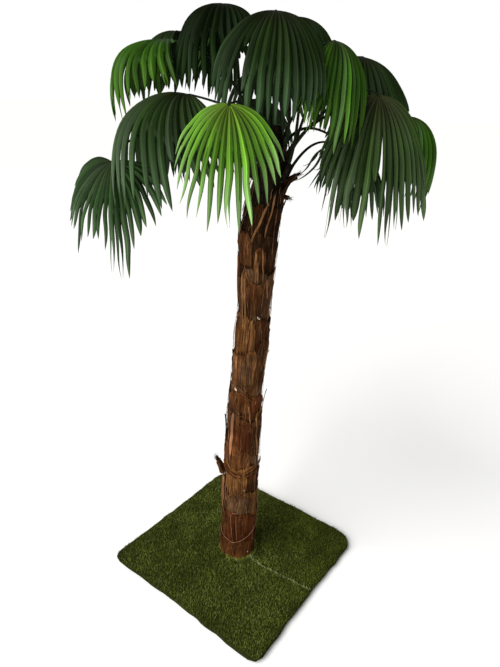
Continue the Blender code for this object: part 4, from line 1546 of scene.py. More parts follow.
class Fan:
    """The hanging surface of one fan leaf, worked out from its frond's sizes."""

    def __init__(self, frond: Frond, number: int) -> None:
        """Works out the fan's axes and draws its fingers' lengths and slacks.

        Args:
            frond: its sizes.
            number: its place in FRONDS, which its draws start from.
        """
        self.frond = frond
        self.hub = frond.hub
        self.forward = heading_vector(frond.heading, frond.tilt)
        self.across = heading_vector(frond.heading + 90.0)
        self.pull = (heading_vector(frond.pull_heading) * frond.pull - UP).normalized()
        self.count = round(frond.spread / FINGER_ANGLE)
        self.step = math.radians(frond.spread) / self.count
        self.rays: dict[tuple[float, float, float], list[Vector]] = {}
        dice = random.Random(BLADE_SEED + number)
        self.lengths = [dice.uniform(*FINGER_LENGTHS) for _ in range(self.count)]
        self.slacks = [dice.uniform(*FINGER_SLACKS) for _ in range(self.count)]

    def edge_angle(self, index: float) -> float:
        """Fan angle of the edge before finger number index; the middle of the fan is at 0."""
        return (index - self.count / 2.0) * self.step

    def reach(self, angle: float) -> float:
        """Length of the blade along a fan angle."""
        side = 2.0 * angle / math.radians(self.frond.spread)
        return self.frond.length * (1.0 - SIDE_SHORTENING * side * side)

    def ray(self, angle: float, sway: float = 0.0, slack: float = 0.0) -> list[Vector]:
        """Gives points at even steps along the blade's length.

        Args:
            angle: the fan angle.
            sway: how far the part past the joined one swings aside.
            slack: how much more that part turns down.

        Returns:
            The points, from the hub.
        """
        key = (angle, sway, slack)
        if key in self.rays:
            return self.rays[key]
        step = self.frond.length / RAY_STEPS
        points = [self.hub.copy()]
        for index in range(RAY_STEPS):
            share = (index + 0.5) / RAY_STEPS
            free = max(0.0, (share - JOINED_SHARE) / (1.0 - JOINED_SHARE))
            turn = angle + math.radians(sway) * free
            start = self.forward * math.cos(turn) + self.across * math.sin(turn)
            amount = self.frond.droop * share ** self.frond.lag * (1.0 + slack * free)
            points.append(points[-1] + turned(start, self.pull, amount) * step)
        self.rays[key] = points
        return points

    def at(self, angle: float, distance: float, sway: float = 0.0, slack: float = 0.0) -> Vector:
        """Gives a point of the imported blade.

        Args:
            angle: the fan angle.
            distance: how far it is from the hub.
            sway: how far the free part swings aside.
            slack: how much more that part turns down.

        Returns:
            The point.
        """
        points = self.ray(angle, sway, slack)
        place = min(distance / self.frond.length * RAY_STEPS, RAY_STEPS - 1e-6)
        index = int(place)
        return points[index].lerp(points[index + 1], place - index)

    def along(self, angle: float, distance: float, sway: float = 0.0, slack: float = 0.0) -> Vector:
        """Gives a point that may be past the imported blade's end.

        Args:
            angle: the fan angle.
            distance: how far it is from the hub.
            sway: how far the free part swings aside.
            slack: how much more that part turns down.

        Returns:
            The point.
        """
        spare = distance - BLADE_END * self.frond.length
        if spare <= 0.0:
            return self.at(angle, distance, sway, slack)
        points = self.ray(angle, sway, slack)
        return self.at(angle, distance - spare, sway, slack) + (points[-1] - points[-2]).normalized() * spare

    def add_sheet(self, crowd: "Crowd") -> None:
        """Puts the joined part of the blade among what is in place."""
        for index in range(self.count):
            crowd.add(*strip_solid(self.finger_rows(index, 0.0, 0.0), BLADE_THICKNESS / 2.0))

    def finger_rows(self, index: int, sway: float, shortening: float,
                    extra: float = 0.0) -> list[list[Vector]]:
        """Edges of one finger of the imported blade.

        Args:
            index: which finger.
            sway: how far it swings aside.
            shortening: share of its free length that is left.
            extra: width added on each side.

        Returns:
            Left and right edge points, row by row from the hub to its tip.
        """
        left, right = self.edge_angle(index), self.edge_angle(index + 1)
        middle = (left + right) / 2.0
        rows = []
        for row in range(JOINED_ROWS + 1):
            share = row / JOINED_ROWS
            pair = []
            for angle in (left, right):
                joined = self.reach(angle) * JOINED_SHARE
                pair.append(self.at(angle, HUB_RADIUS + (joined - HUB_RADIUS) * share))
            rows.append(pair)
        if shortening <= 0.0:
            return rows
        joined = self.reach(middle) * JOINED_SHARE
        free_length = (self.reach(middle) * self.lengths[index] - joined) * shortening
        slack = self.slacks[index]
        width = (rows[-1][1] - rows[-1][0]).length
        for row in range(1, FREE_ROWS + 1):
            share = row / FREE_ROWS
            distance = joined + free_length * share
            centre = self.at(middle, distance, sway, slack)
            spanned = self.at(right, distance) - self.at(left, distance)
            half = spanned.normalized() * (0.5 * width * (1.0 - share ** FINGER_TAPER) + extra)
            rows.append([centre - half, centre + half])
        return rows


def strip_solid(rows: Sequence[Sequence[Vector]], half_thickness: float) -> Solid:
    """Makes a strip between two edges, thickened both ways, to test for contact.

    Args:
        rows: left and right edge points.
        half_thickness: how far it reaches both ways.

    Returns:
        Its vertices and faces.
    """
    vertices: list[Vector] = []
    faces: list[tuple[int, ...]] = []
    for number, (left, right) in enumerate(rows):
        before = rows[max(number - 1, 0)]
        after = rows[min(number + 1, len(rows) - 1)]
        along = (after[0] + after[1]) - (before[0] + before[1])
        normal = along.cross(before[1] - before[0] + after[1] - after[0]).normalized() * half_thickness
        vertices += [left + normal, right + normal, right - normal, left - normal]
    for number in range(len(rows) - 1):
        base = 4 * number
        for corner in range(4):
            following = (corner + 1) % 4
            faces.append((base + corner, base + following, base + following + 4, base + corner + 4))
    faces.append((0, 1, 2, 3))
    faces.append(tuple(4 * (len(rows) - 1) + corner for corner in range(4)))
    return vertices, faces


def tube_solid(points: Sequence[Vector], radii: Sequence[float], sides: int = 8) -> Solid:
    """Makes a tube to test for contact.

    Args:
        points: its centre line.
        radii: radius at each point.
        sides: number of sides.

    Returns:
        Its vertices and faces.
    """
    vertices: list[Vector] = []
    faces: list[tuple[int, ...]] = []
    first = Vector((1.0, 0.0, 0.0))
    for number, (point, radius) in enumerate(zip(points, radii)):
        along = (points[min(number + 1, len(points) - 1)] - points[max(number - 1, 0)]).normalized()
        first = (first - along * first.dot(along)).normalized()
        second = along.cross(first)
        for side in range(sides):
            angle = math.tau * side / sides
            vertices.append(point + (first * math.cos(angle) + second * math.sin(angle)) * radius)
    for number in range(len(points) - 1):
        for side in range(sides):
            a, b = number * sides + side, number * sides + (side + 1) % sides
            faces.append((a, b, b + sides, a + sides))
    return vertices, faces


class Crowd:
    """Everything that is already in place in the crown, for finding out what a new finger would touch."""

    def __init__(self) -> None:
        """Starts with nothing in place."""
        self.vertices: list[Vector] = []
        self.faces: list[tuple[int, ...]] = []
        self.tree: BVHTree | None = None

    def add(self, vertices: list[Vector], faces: list[tuple[int, ...]]) -> None:
        """Puts one more solid among those in place."""
        first = len(self.vertices)
        self.vertices += vertices
        self.faces += [tuple(first + corner for corner in face) for face in faces]

    def settle(self) -> None:
        """Prepares the search over what has been added."""
        self.tree = BVHTree.FromPolygons(self.vertices, self.faces)

    def touches(self, vertices: list[Vector], faces: list[tuple[int, ...]]) -> bool:
        """Whether a solid would touch anything in place."""
        return bool(BVHTree.FromPolygons(vertices, faces).overlap(self.tree))


@dataclass
class CrownPlan:
    """Where each stalk runs, and the sway and length of each finger, chosen so that nothing touches."""

    form: TrunkForm
    fans: list[Fan] = field(default_factory=list)
    plans: list[Plan] = field(default_factory=list)
    slopes: list[Span] = field(default_factory=list)
    slots: dict[int, int] = field(default_factory=dict)

    def work_out(self) -> None:
        """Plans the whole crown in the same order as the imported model."""
        self.fans = [Fan(frond, number) for number, frond in enumerate(FRONDS)]
        order = sorted(range(len(FRONDS)), key=lambda number: FRONDS[number].bearing)
        self.slots = {number: slot for slot, number in enumerate(order)}
        self.plan_stalks()
        crowd = Crowd()
        for number in range(len(FRONDS)):
            crowd.add(*tube_solid(self.stalk_points(number), stalk_radii()))
        for tuft in TUFTS:
            crowd.add(*tube_solid(*tuft.line(self.form)))
        crowd.add(*tube_solid(*self.form.line(), TRUNK_SIDES))
        for fan in self.fans:
            fan.add_sheet(crowd)
        for fan in self.fans:
            crowd.settle()
            plan = [clear_finger(fan, index, crowd) for index in range(fan.count)]
            for index, (sway, shortening) in enumerate(plan):
                if shortening > 0.0:
                    free_rows = fan.finger_rows(index, sway, shortening)[JOINED_ROWS:]
                    crowd.add(*strip_solid(free_rows, BLADE_THICKNESS / 2.0))
            self.plans.append(plan)

    def plan_stalks(self) -> None:
        """Finds the first slope of each stalk that keeps it clear of the others and of the blades."""
        radii = [radius + CLEARANCE for radius in stalk_radii()]
        crowd = Crowd()
        for fan in self.fans:
            fan.add_sheet(crowd)
        for number in range(len(FRONDS)):
            crowd.settle()
            for lift, rise in itertools.product(STALK_LIFTS, STALK_RISES):
                line = self.stalk_line(number, rise, lift, STALK_POINTS)
                if not crowd.touches(*tube_solid(line, radii)):
                    break
            else:
                raise ValueError(f"stalk {number + 1} has no clear way to its hub")
            crowd.add(*tube_solid(line, stalk_radii()))
            self.slopes.append((rise, lift))

    def stalk_line(self, number: int, rise: float, lift: float, count: int) -> list[Vector]:
        """Gives the centre line of a stalk as a cubic curve.

        Args:
            number: which frond it carries.
            rise: its slope where it leaves the trunk.
            lift: change to its slope where it arrives.
            count: number of points.

        Returns:
            Points from the trunk's side to the hub.
        """
        frond, slot = FRONDS[number], self.slots[number]
        tier = STALK_TIERS[slot % len(STALK_TIERS)]
        heading = 360.0 * slot / len(FRONDS)
        clear = self.form.radius(tier) + STALK_FOOT_RADIUS * math.sin(math.radians(rise)) + 4.0 * GAP
        start = self.form.centre(tier) + heading_vector(heading) * clear
        end = frond.hub
        span = (end - start).length
        first = start + heading_vector(heading, rise) * span * STALK_FOOT_PULL
        second = end - heading_vector(arrival_heading(frond), frond.arrival + lift) * span * STALK_HUB_PULL
        points = []
        for index in range(count):
            t = index / (count - 1)
            u = 1.0 - t
            points.append(start * u ** 3 + first * 3 * u * u * t + second * 3 * u * t * t + end * t ** 3)
        return points

    def stalk_points(self, number: int, count: int = STALK_POINTS) -> list[Vector]:
        """Centre line of a planned stalk."""
        return self.stalk_line(number, *self.slopes[number], count)


def stalk_radii() -> list[float]:
    """Radius of a packed stalk at each of its points."""
    taper = (STALK_FOOT_RADIUS - STALK_TIP_RADIUS) / (STALK_POINTS - 1)
    return [STALK_FOOT_RADIUS - taper * index for index in range(STALK_POINTS)]


def arrival_heading(frond: Frond) -> float:
    """Heading of the stalk at the hub: its bearing, as far as the gap at the back of the fan lets it in."""
    most = FAN_GAP_MARGIN - frond.spread / 2.0
    return frond.heading + max(-most, min(most, turn_to(frond.heading, frond.bearing)))


def clear_finger(fan: Fan, index: int, crowd: Crowd) -> Span:
    """Finds the longest form of a finger that touches nothing in place.

    Args:
        fan: its fan.
        index: which finger.
        crowd: what is in place.

    Returns:
        Its sway, and the share of its free length that is left.
    """
    for shortening in SHORTENINGS:
        for sway in SWAYS:
            rows = fan.finger_rows(index, sway, shortening, CLEARANCE)[JOINED_ROWS:]
            rows[0] = [notch.lerp(beyond, ROOT_SHARE) for notch, beyond in zip(rows[0], rows[1])]
            if not crowd.touches(*strip_solid(rows, BLADE_THICKNESS / 2.0 + CLEARANCE)):
                return sway, shortening
    return 0.0, 0.0


@dataclass(frozen=True)
class Finger:
    """How one finger of a leaf hangs, where it is split from its neighbours, and how it is creased."""

    index: int
    sway: float
    slack: float
    end: float  # share of the blade's reach that it ends at
    notches: Span  # share of the reach that each side is joined up to
    twist: float
    wave: float
    phase: float
    split: bool
    shade: int


@dataclass
class Blade:
    """One leaf's pleated blade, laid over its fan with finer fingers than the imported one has."""

    fan: Fan
    plan: Plan
    dice: random.Random
    row_step: float = 0.04  # share of the reach between rows, as far as fingers can be joined
    joined_most: float = 0.72
    tip_rows: int = 10
    half_columns: int = 2
    pleat: float = 0.66  # height of the pleats as a share of half a finger's width
    hub_start: float = 0.0016
    outer_notch: float = 0.34
    least_notch: float = 0.12
    notch_gap: float = 0.07
    torn_from: float = 0.76
    torn: float = 0.13
    jitter: Ripple = Ripple(0.060, (4.5, 1.0, 0.0))  # how unevenly the pleats are spaced
    uneven: Ripple = Ripple(1.0, (1.7, 2.6, 1.0))
    warp: float = 0.0065  # unevenness of the whole blade
    swing: float = 3.4  # how far a finger hangs aside, as an angle
    slack: float = 0.07
    twist: float = 22.0
    wave: float = 0.0032
    ends: Span = (0.88, 1.04)
    # shares of the four finishes; the darker and lighter ones are partly painted shade and highlight, the
    # last a painted sheen
    shade_shares: tuple[int, ...] = (5, 3, 2, 1)
    overhang: float = 0.84  # most of a finger's length that it can be joined along
    narrowing: float = 0.10  # of a finger just past its notch
    torn_spread: float = 0.0022
    near: float = 0.004  # distance and angle over which slopes are taken
    near_angle: float = 0.05
    groove_depth: float = 0.25
    wire_rise: float = 0.20
    wire_reach: float = 0.74
    wire_drop: float = 0.0014
    wire_radii: Span = (0.0009, 0.0004)  # at its foot, and lost along it

    def __post_init__(self) -> None:
        """Spaces the pleats and draws the fingers."""
        frond = self.fan.frond
        spread = math.radians(frond.spread)
        self.tone = frond.tone.value
        self.count = max(9, round(spread * 0.6 * frond.length / self.tone.width))
        self.step = spread / self.count
        self.phase = self.dice.uniform(0.0, 40.0)
        self.edges = [self.edge_angle((number / self.count - 0.5) * spread)
                      for number in range(self.count + 1)]
        self.fingers = self.draw_fingers()

    def edge_angle(self, angle: float) -> float:
        """Moves a pleat a little aside, the same way for the fingers on both sides of it."""
        side = 2.0 * angle / math.radians(self.fan.frond.spread)
        return angle + self.jitter.at(angle, self.phase) * (1.0 - side * side)

    def draw_fingers(self) -> list[Finger]:
        """Draws how each finger hangs, is split and is creased, within what the plan gives it.

        Returns:
            The fingers, side by side.
        """
        dice, fan = self.dice, self.fan
        middles = [(number + 0.5) / self.count for number in range(self.count)]
        owners = [min(fan.count - 1, int(middle * fan.count)) for middle in middles]
        runs = [next((run for run in fan.frond.runs if run.first <= middle <= run.last), PLAIN_RUN)
                for middle in middles]
        ends = []
        for owner, run in zip(owners, runs):
            free = fan.lengths[owner] * dice.uniform(*self.ends) - JOINED_SHARE
            ends.append((JOINED_SHARE + free * self.plan[owner][1]) * run.length)
        notches = [self.outer_notch]
        for before, after, run in zip(ends, ends[1:], runs):
            drawn = min(dice.uniform(*self.tone.notches), run.notch + dice.uniform(0.0, 0.06))
            notches.append(max(self.least_notch, min(drawn, self.overhang * before, self.overhang * after)))
        notches.append(self.outer_notch)
        shades = range(len(self.shade_shares))
        return [Finger(index, self.plan[owner][0] + run.sway + dice.gauss(0.0, self.swing),
                       fan.slacks[owner] + run.slack + dice.gauss(0.0, self.slack), ends[index],
                       (notches[index], notches[index + 1]), math.radians(dice.gauss(0.0, self.twist)),
                       dice.gauss(0.0, self.wave), dice.uniform(0.0, math.tau), dice.random() < self.torn,
                       dice.choices(shades, self.shade_shares)[0])
                for index, (owner, run) in enumerate(zip(owners, runs))]

    def stations(self, finger: Finger) -> list[float]:
        """Spaces the rows of a finger.

        Args:
            finger: the finger.

        Returns:
            The places of its rows, as shares of the blade's reach.
        """
        shares = []
        while self.row_step * len(shares) < min(finger.end - 0.03, self.joined_most):
            shares.append(self.row_step * len(shares))
        count = self.tip_rows if finger.end > self.joined_most else 4
        left = finger.end - shares[-1]
        return shares + [shares[-1] + left * step / count for step in range(1, count + 1)]

    def mesh(self) -> Mesh:
        """Makes the blade: two strips for each finger, which meet at its ridge.

        Returns:
            The blade's mesh.
        """
        mesh = bmesh.new()
        pleat, reach = mesh.verts.layers.float.new("pleat"), mesh.verts.layers.float.new("reach")
        for finger in self.fingers:
            shares = self.stations(finger)
            rows = [self.row(finger, share) for share in shares]
            last = len(rows) - 1
            for side in (0, 1):
                flat = lay_grid(mesh, last, self.half_columns, lambda u, v: Vector((u, v, 0.0)), finger.shade)
                for vertex in flat:
                    number, across = round(vertex.co.x * last), vertex.co.y
                    vertex.co = rows[number][2 * side].lerp(rows[number][2 * side + 1], across)
                    vertex[pleat] = finger.index + 0.5 * (side + across)
                    vertex[reach] = shares[number]
        bmesh.ops.remove_doubles(mesh, verts=mesh.verts, dist=SHARED_EDGE)
        return mesh

    def middle(self, finger: Finger) -> float:
        """Fan angle of a finger's ridge."""
        return 0.5 * (self.edges[finger.index] + self.edges[finger.index + 1])

    def row(self, finger: Finger, share: float) -> tuple[Vector, ...]:
        """Gives one row of a finger.

        Args:
            finger: the finger.
            share: place along it, as a share of the blade's reach.

        Returns:
            Its left edge, the ridge twice, and its right edge; a torn tip has two ridges.
        """
        centre, across, up = self.frame_at(self.middle(finger), share, finger.sway, finger.slack)
        past = share_of(share, JOINED_SHARE, 1.0)
        roll = finger.twist * past ** 1.4
        across, up = (across * math.cos(roll) + up * math.sin(roll),
                      up * math.cos(roll) - across * math.sin(roll))
        centre = centre + across * finger.wave * math.sin(finger.phase + 5.0 * past) * smooth(past, 0.0, 0.4)
        halves = [self.half_width(finger, side, share) for side in (0, 1)]
        edges = []
        for side, half in enumerate(halves):
            own = centre + across * half * (2 * side - 1) - up * 0.5 * self.pleat * half
            loose = smooth(share, finger.notches[side], finger.notches[side] + self.notch_gap)
            if loose < 1.0:
                own = self.groove(finger.index + side, share).lerp(own, loose)
            edges.append(own)
        ridge = centre + up * self.groove_depth * self.pleat * (halves[0] + halves[1])
        if not finger.split or share <= self.torn_from:
            return edges[0], ridge, ridge, edges[1]
        torn = min(1.0, (share - self.torn_from) / max(0.05, finger.end - self.torn_from))
        spread = self.torn_spread * torn
        return (edges[0] - across * spread, ridge.lerp(edges[0], 0.75 * torn) - across * spread,
                ridge.lerp(edges[1], 0.75 * torn) + across * spread, edges[1] + across * spread)

    def frame_at(self, angle: float, share: float, sway: float = 0.0,
                 slack: float = 0.0) -> tuple[Vector, Vector, Vector]:
        """Gives a place on the blade's middle surface.

        Args:
            angle: the fan angle.
            share: distance from the hub, as a share of the blade's reach.
            sway: how far this part swings aside.
            slack: how much more it turns down.

        Returns:
            The point, the direction across the blade, and the one out of its upper side.
        """
        fan = self.fan
        distance = max(self.hub_start, share * fan.reach(angle))
        centre = fan.along(angle, distance, sway, slack)
        ahead = (fan.along(angle, distance + self.near, sway, slack)
                 - fan.along(angle, distance - self.near, sway, slack))
        beyond, before = (fan.along(angle + off, distance) for off in (self.near_angle, -self.near_angle))
        across = (beyond - before).normalized()
        up = ahead.cross(across).normalized()
        uneven = self.uneven.at(angle, share, self.phase) * smooth(share, 0.08, 0.5)
        return centre + up * self.warp * uneven, across, up

    def half_width(self, finger: Finger, side: int, share: float) -> float:
        """Gives half a finger's width: as wide as the fan up to its notch, then tapering to a point.

        Args:
            finger: the finger.
            side: 0 for its left side, 1 for its right side.
            share: place along it, as a share of the blade's reach.

        Returns:
            The width on that side of its ridge.
        """
        fan, notch = self.fan, finger.notches[side]
        place = max(self.hub_start / fan.frond.length, min(share, notch + 0.05))
        first, second = (fan.at(angle, place * fan.reach(angle))
                         for angle in self.edges[finger.index:finger.index + 2])
        past = share_of(share, notch, finger.end)
        tapered = 0.5 * (second - first).length * (1.0 - past ** self.tone.taper)
        return tapered * (1.0 - self.narrowing * smooth(past, 0.0, 0.3))

    def groove(self, edge: int, share: float) -> Vector:
        """Gives the bottom of the groove that two joined fingers share.

        Args:
            edge: number of the edge between them.
            share: place along it, as a share of the blade's reach.

        Returns:
            The point.
        """
        beside = [self.fingers[index] for index in (edge - 1, edge) if 0 <= index < self.count]
        sway = sum(finger.sway for finger in beside) / len(beside)
        slack = sum(finger.slack for finger in beside) / len(beside)
        angle = self.edges[edge]
        centre, _across, up = self.frame_at(angle, share, sway, slack)
        return centre - up * self.groove_depth * self.pleat * self.step * share * self.fan.reach(angle)

    def add_wire(self, mesh: Mesh, finger: Finger) -> None:
        """Adds the wire that stiffens a finger from below.

        Args:
            mesh: the mesh that it joins.
            finger: the finger.
        """
        points = []
        for share in self.stations(finger)[1:]:
            if share < self.wire_reach * finger.end:
                centre, _across, up = self.frame_at(self.middle(finger), share, finger.sway, finger.slack)
                ridge = self.wire_rise * self.pleat * self.step * min(share, 0.5) * self.fan.frond.length
                points.append(centre + up * (ridge - self.wire_drop))
        radius, lost = self.wire_radii
        sweep(mesh, points, [radius - lost * number / len(points) for number in range(len(points))], 5)


@dataclass
class Leaves:
    """All the fan leaves and the wires that stiffen them."""

    plan: CrownPlan
    thickness: float = 0.0009
    crease: float = 38.0
    seed: int = 310

    def build(self) -> None:
        """Builds each leaf in place of its frond, and the wires under all of them."""
        dice = random.Random(self.seed)
        finishes = {tone: [finish.material() for finish in tone.finishes()] for tone in LeafTone}
        wires = bmesh.new()
        for number, (fan, plan) in enumerate(zip(self.plan.fans, self.plan.plans), start=1):
            blade = Blade(fan, plan, dice)
            settle(finish_mesh(f"leaf_{number:02d}", blade.mesh(), finishes[fan.frond.tone], self.crease,
                               self.thickness), fan.frond.tone.value.slot, f"frond_{number:02d}")
            for finger in blade.fingers[1::4]:
                blade.add_wire(wires, finger)
        settle(finish_mesh("leaf_wires", wires, [STALK_PLASTIC.material()]), "stalk")


@dataclass
class Stalks:
    """The stalks, the fibre sheaths at their feet and the knobs at their hubs."""

    plan: CrownPlan
    points: int = 26
    sides: int = 10
    sunk: float = 0.016
    sheath_length: float = 0.052
    sheath_radius: float = 0.0088
    sheath_steps: int = 7
    sheath_lumps: Ripple = Ripple(1.0, (160.0, 160.0, 160.0))
    knob: tuple[float, float, float] = (0.0064, 0.0048, 0.0026)
    knob_drop: float = 0.0012

    def build(self) -> None:
        """Builds each stalk in place of its node, and the sheaths of all of them."""
        plastic = STALK_PLASTIC.material()
        sheaths = bmesh.new()
        for number in range(len(FRONDS)):
            line = self.plan.stalk_points(number, self.points)
            into = (line[1] - line[0]).normalized()
            line = [line[0] - into * self.sunk] + line
            last = len(line) - 1
            radii = [STALK_FOOT_RADIUS + (STALK_TIP_RADIUS - STALK_FOOT_RADIUS) * step / last
                     for step in range(last + 1)]
            mesh = bmesh.new()
            sweep(mesh, line, radii, self.sides, flatness=0.82)
            self.add_knob(mesh, number, line)
            settle(finish_mesh(f"leaf_stalk_{number + 1:02d}", mesh, [plastic], crease=50.0), "stalk",
                   f"stalk_{number + 1:02d}")
            self.add_sheath(sheaths, line, number)
        settle(finish_mesh("stalk_sheaths", sheaths, [SHEATH_FIBRE.material()]), "trunk_fibre")

    def add_knob(self, mesh: Mesh, number: int, line: Sequence[Vector]) -> None:
        """Adds the flat knob that grips the leaf's pleats.

        Args:
            mesh: the mesh that it joins.
            number: which frond it carries.
            line: the stalk's centre line.
        """
        fan = self.plan.fans[number]
        up = fan.forward.cross(fan.across).normalized()
        turn = Matrix((fan.forward, fan.across, up)).transposed().to_4x4()
        place = Matrix.Translation(line[-1] - up * self.knob_drop) @ turn @ Matrix.Diagonal((*self.knob, 1.0))
        bmesh.ops.create_uvsphere(mesh, u_segments=16, v_segments=9, radius=1.0, matrix=place)

    def add_sheath(self, mesh: Mesh, line: Sequence[Vector], number: int) -> None:
        """Adds the fibre that wraps a stalk's foot.

        Args:
            mesh: the mesh that it joins.
            line: the stalk's centre line.
            number: which frond it carries; the sheaths differ in length.
        """
        shares = [step / self.sheath_steps for step in range(self.sheath_steps + 1)]
        length = self.sheath_length * (0.8 + 0.35 * (number * 7 % 5) / 4.0)
        start, ahead = line[0], (line[2] - line[0]).normalized()
        points = [start + ahead * (self.sunk * 0.4 + length * step / self.sheath_steps)
                  for step in range(self.sheath_steps + 1)]
        radii = [self.sheath_radius * (1.0 - 0.42 * share ** 1.3) for share in shares]
        for vertex in sweep(mesh, points, radii, 10, flatness=0.9):
            vertex.co += (vertex.co - start) * 0.05 * self.sheath_lumps.at(*vertex.co)


# ---------------------------------------------------------------- stand


@dataclass
class Board:
    """The thin board under the turf."""

    def dress(self) -> None:
        """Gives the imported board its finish."""
        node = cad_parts["base_board"]
        node.data.materials.clear()
        node.data.materials.append(BOARD_WOOD.material())
        LOG.info("base_board: dressed")


@dataclass
class Turf:
    """The turf cover: a thin backing and short bent blades in four tones."""

    seed: int = 5
    corner: float = 0.036
    backing: float = 0.0026
    hole: float = 0.066
    cells: int = 120
    blades: int = 78000
    blade_width: float = 0.0016
    blade_length: Span = (0.0078, 0.0138)
    blade_lean: float = 0.42
    bare_edge: float = 0.001
    hole_margin: float = 0.002
    sown: float = 0.0006  # depth of a blade's foot under the backing
    blade_bends: tuple[float, ...] = (0.15, 0.45, 0.80)
    wave: float = 0.0035
    inset: float = 0.0015
    fray: Ripple = Ripple(0.0045, (26.0, 26.0, 0.0), 4.0)
    worn_corner: float = 0.040  # how much rounder the far corner is
    left_corner: float = 0.020
    level_ripple: Ripple = Ripple(0.0012, (9.0, 9.0, 0.0), 2.0)
    lift: float = 0.0010
    droop: Span = (0.0030, 0.022)  # how far the edge sags, and over which width
    seam_rise: Span = (0.0022, 0.014)
    collar: Span = (0.0040, 0.016)
    rings: int = 14
    search: Span = (0.2, 0.6)  # distances between which the outline is looked for
    search_steps: int = 26
    front_spare: float = 0.006  # how much further the cover reaches at its front corner
    route: tuple[Span, ...] = ((0.020, 0.000), (0.130, -0.012), (0.350, 0.013))
    seam_clear: float = 0.0028
    finishes: tuple[PileFinish, ...] = (
        PileFinish("pile_deep", 0.55, (0.032, 0.041, 0.005), (0.112, 0.142, 0.017)),
        PileFinish("pile_middle", 0.52, (0.044, 0.056, 0.006), (0.188, 0.224, 0.034)),
        PileFinish("pile_pale", 0.50, (0.070, 0.084, 0.013), (0.370, 0.420, 0.135)),
        PileFinish("pile_lip", 0.50, (0.100, 0.118, 0.028), (0.370, 0.430, 0.160)),
    )
    shares: tuple[float, ...] = (0.40, 0.84)  # where the deep and the middle blades end among 0 to 1
    right_shade: float = 0.26  # painted shade: how many more blades are deep towards the right, away from the light
    right_from: float = 0.35
    lip: float = 0.0115  # width of the pale lip along the cut
    lip_lean: float = 0.3  # blades on the lip stand up
    trunk_margin: float = 0.010  # blades this near the trunk are longer
    trunk_growth: float = 1.5
    edge_margin: float = 0.02  # blades this near the edge lean less
    edge_lean: float = 0.35

    def __post_init__(self) -> None:
        """Takes the cover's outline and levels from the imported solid."""
        low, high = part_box("turf_cover")
        self.half = (high.x - low.x) / 2.0
        self.bottom = low.z

    def edge(self, x: float, y: float) -> float:
        """Tells how far a point is inside the cover's outline, with its rounded corners and slight waves.

        Args:
            x: the point's place.
            y: the same.

        Returns:
            The distance to the outline; below 0 the point is outside.
        """
        wobble = self.wave * math.sin(9.0 * (x + 0.3)) * math.cos(7.0 * y) - self.inset
        wobble += self.fray.at(x, y)
        front = smooth((x - y) / (2.0 * self.half), 0.55, 1.0)
        side = self.half + wobble + self.front_spare * front
        corner = self.corner + (self.worn_corner if x > 0.0 and y > 0.0 else 0.0)
        corner += self.left_corner if x < 0.0 < y else 0.0
        out_x, out_y = abs(x) - (side - corner), abs(y) - (side - corner)
        if out_x > 0.0 and out_y > 0.0:
            return corner - math.hypot(out_x, out_y)
        return corner - max(out_x, out_y)

    def seam_distance(self, x: float, y: float) -> float:
        """Measures how far a point is from the cut that runs from the trunk to the edge.

        Args:
            x: the point's place.
            y: the same.

        Returns:
            The distance.
        """
        nearest = 1.0
        for (x0, y0), (x1, y1) in zip(self.route, self.route[1:]):
            run_x, run_y = x1 - x0, y1 - y0
            share = min(1.0, max(0.0, ((x - x0) * run_x + (y - y0) * run_y) / (run_x ** 2 + run_y ** 2)))
            nearest = min(nearest, math.hypot(x - x0 - run_x * share, y - y0 - run_y * share))
        return nearest

    def level(self, x: float, y: float) -> float:
        """Gives the backing's lower side, which sags at the edge and rises at the cut and the trunk.

        Args:
            x: the point's place.
            y: the same.

        Returns:
            Its height above the ground.
        """
        droop = self.droop[0] * (1.0 - smooth(self.edge(x, y), 0.0, self.droop[1]))
        lip = self.seam_rise[0] * (1.0 - smooth(self.seam_distance(x, y), 0.0, self.seam_rise[1]))
        collar = self.collar[0] * (1.0 - smooth(math.hypot(x, y) - self.hole, 0.0, self.collar[1]))
        return self.bottom + self.backing + self.lift + self.level_ripple.at(x, y) + lip + collar - droop

    def build(self) -> None:
        """Builds the backing and the pile."""
        self.build_backing()
        self.build_pile()

    def build_backing(self) -> None:
        """A thin sheet with the opening round the trunk and the cut that leads to it."""
        mesh = bmesh.new()
        bmesh.ops.create_circle(mesh, cap_ends=False, segments=self.cells, radius=1.0)
        inner = list(mesh.edges)
        for _ in range(self.rings):
            ring = bmesh.ops.extrude_edge_only(mesh, edges=inner)["geom"]
            inner = [item for item in ring if isinstance(item, bmesh.types.BMEdge)]
        mesh.verts.ensure_lookup_table()
        for number, vertex in enumerate(mesh.verts):
            share = (number // self.cells) / self.rings
            out = Vector((vertex.co.x, vertex.co.y, 0.0)).normalized()
            place = out * (self.hole + (self.outline(out) - self.hole) * share)
            vertex.co = (place.x, place.y, self.level(place.x, place.y))
        settle(finish_mesh("turf_backing", mesh, [TURF_BACKING.material()], 50.0, self.backing, -1.0),
               "turf", "turf_cover")

    def outline(self, out: Vector) -> float:
        """Looks for the cover's outline.

        Args:
            out: a level direction from the middle.

        Returns:
            How far the outline is in that direction.
        """
        low, high = self.search
        for _ in range(self.search_steps):
            middle = (low + high) / 2.0
            if self.edge(out.x * middle, out.y * middle) > 0.0:
                low = middle
            else:
                high = middle
        return low

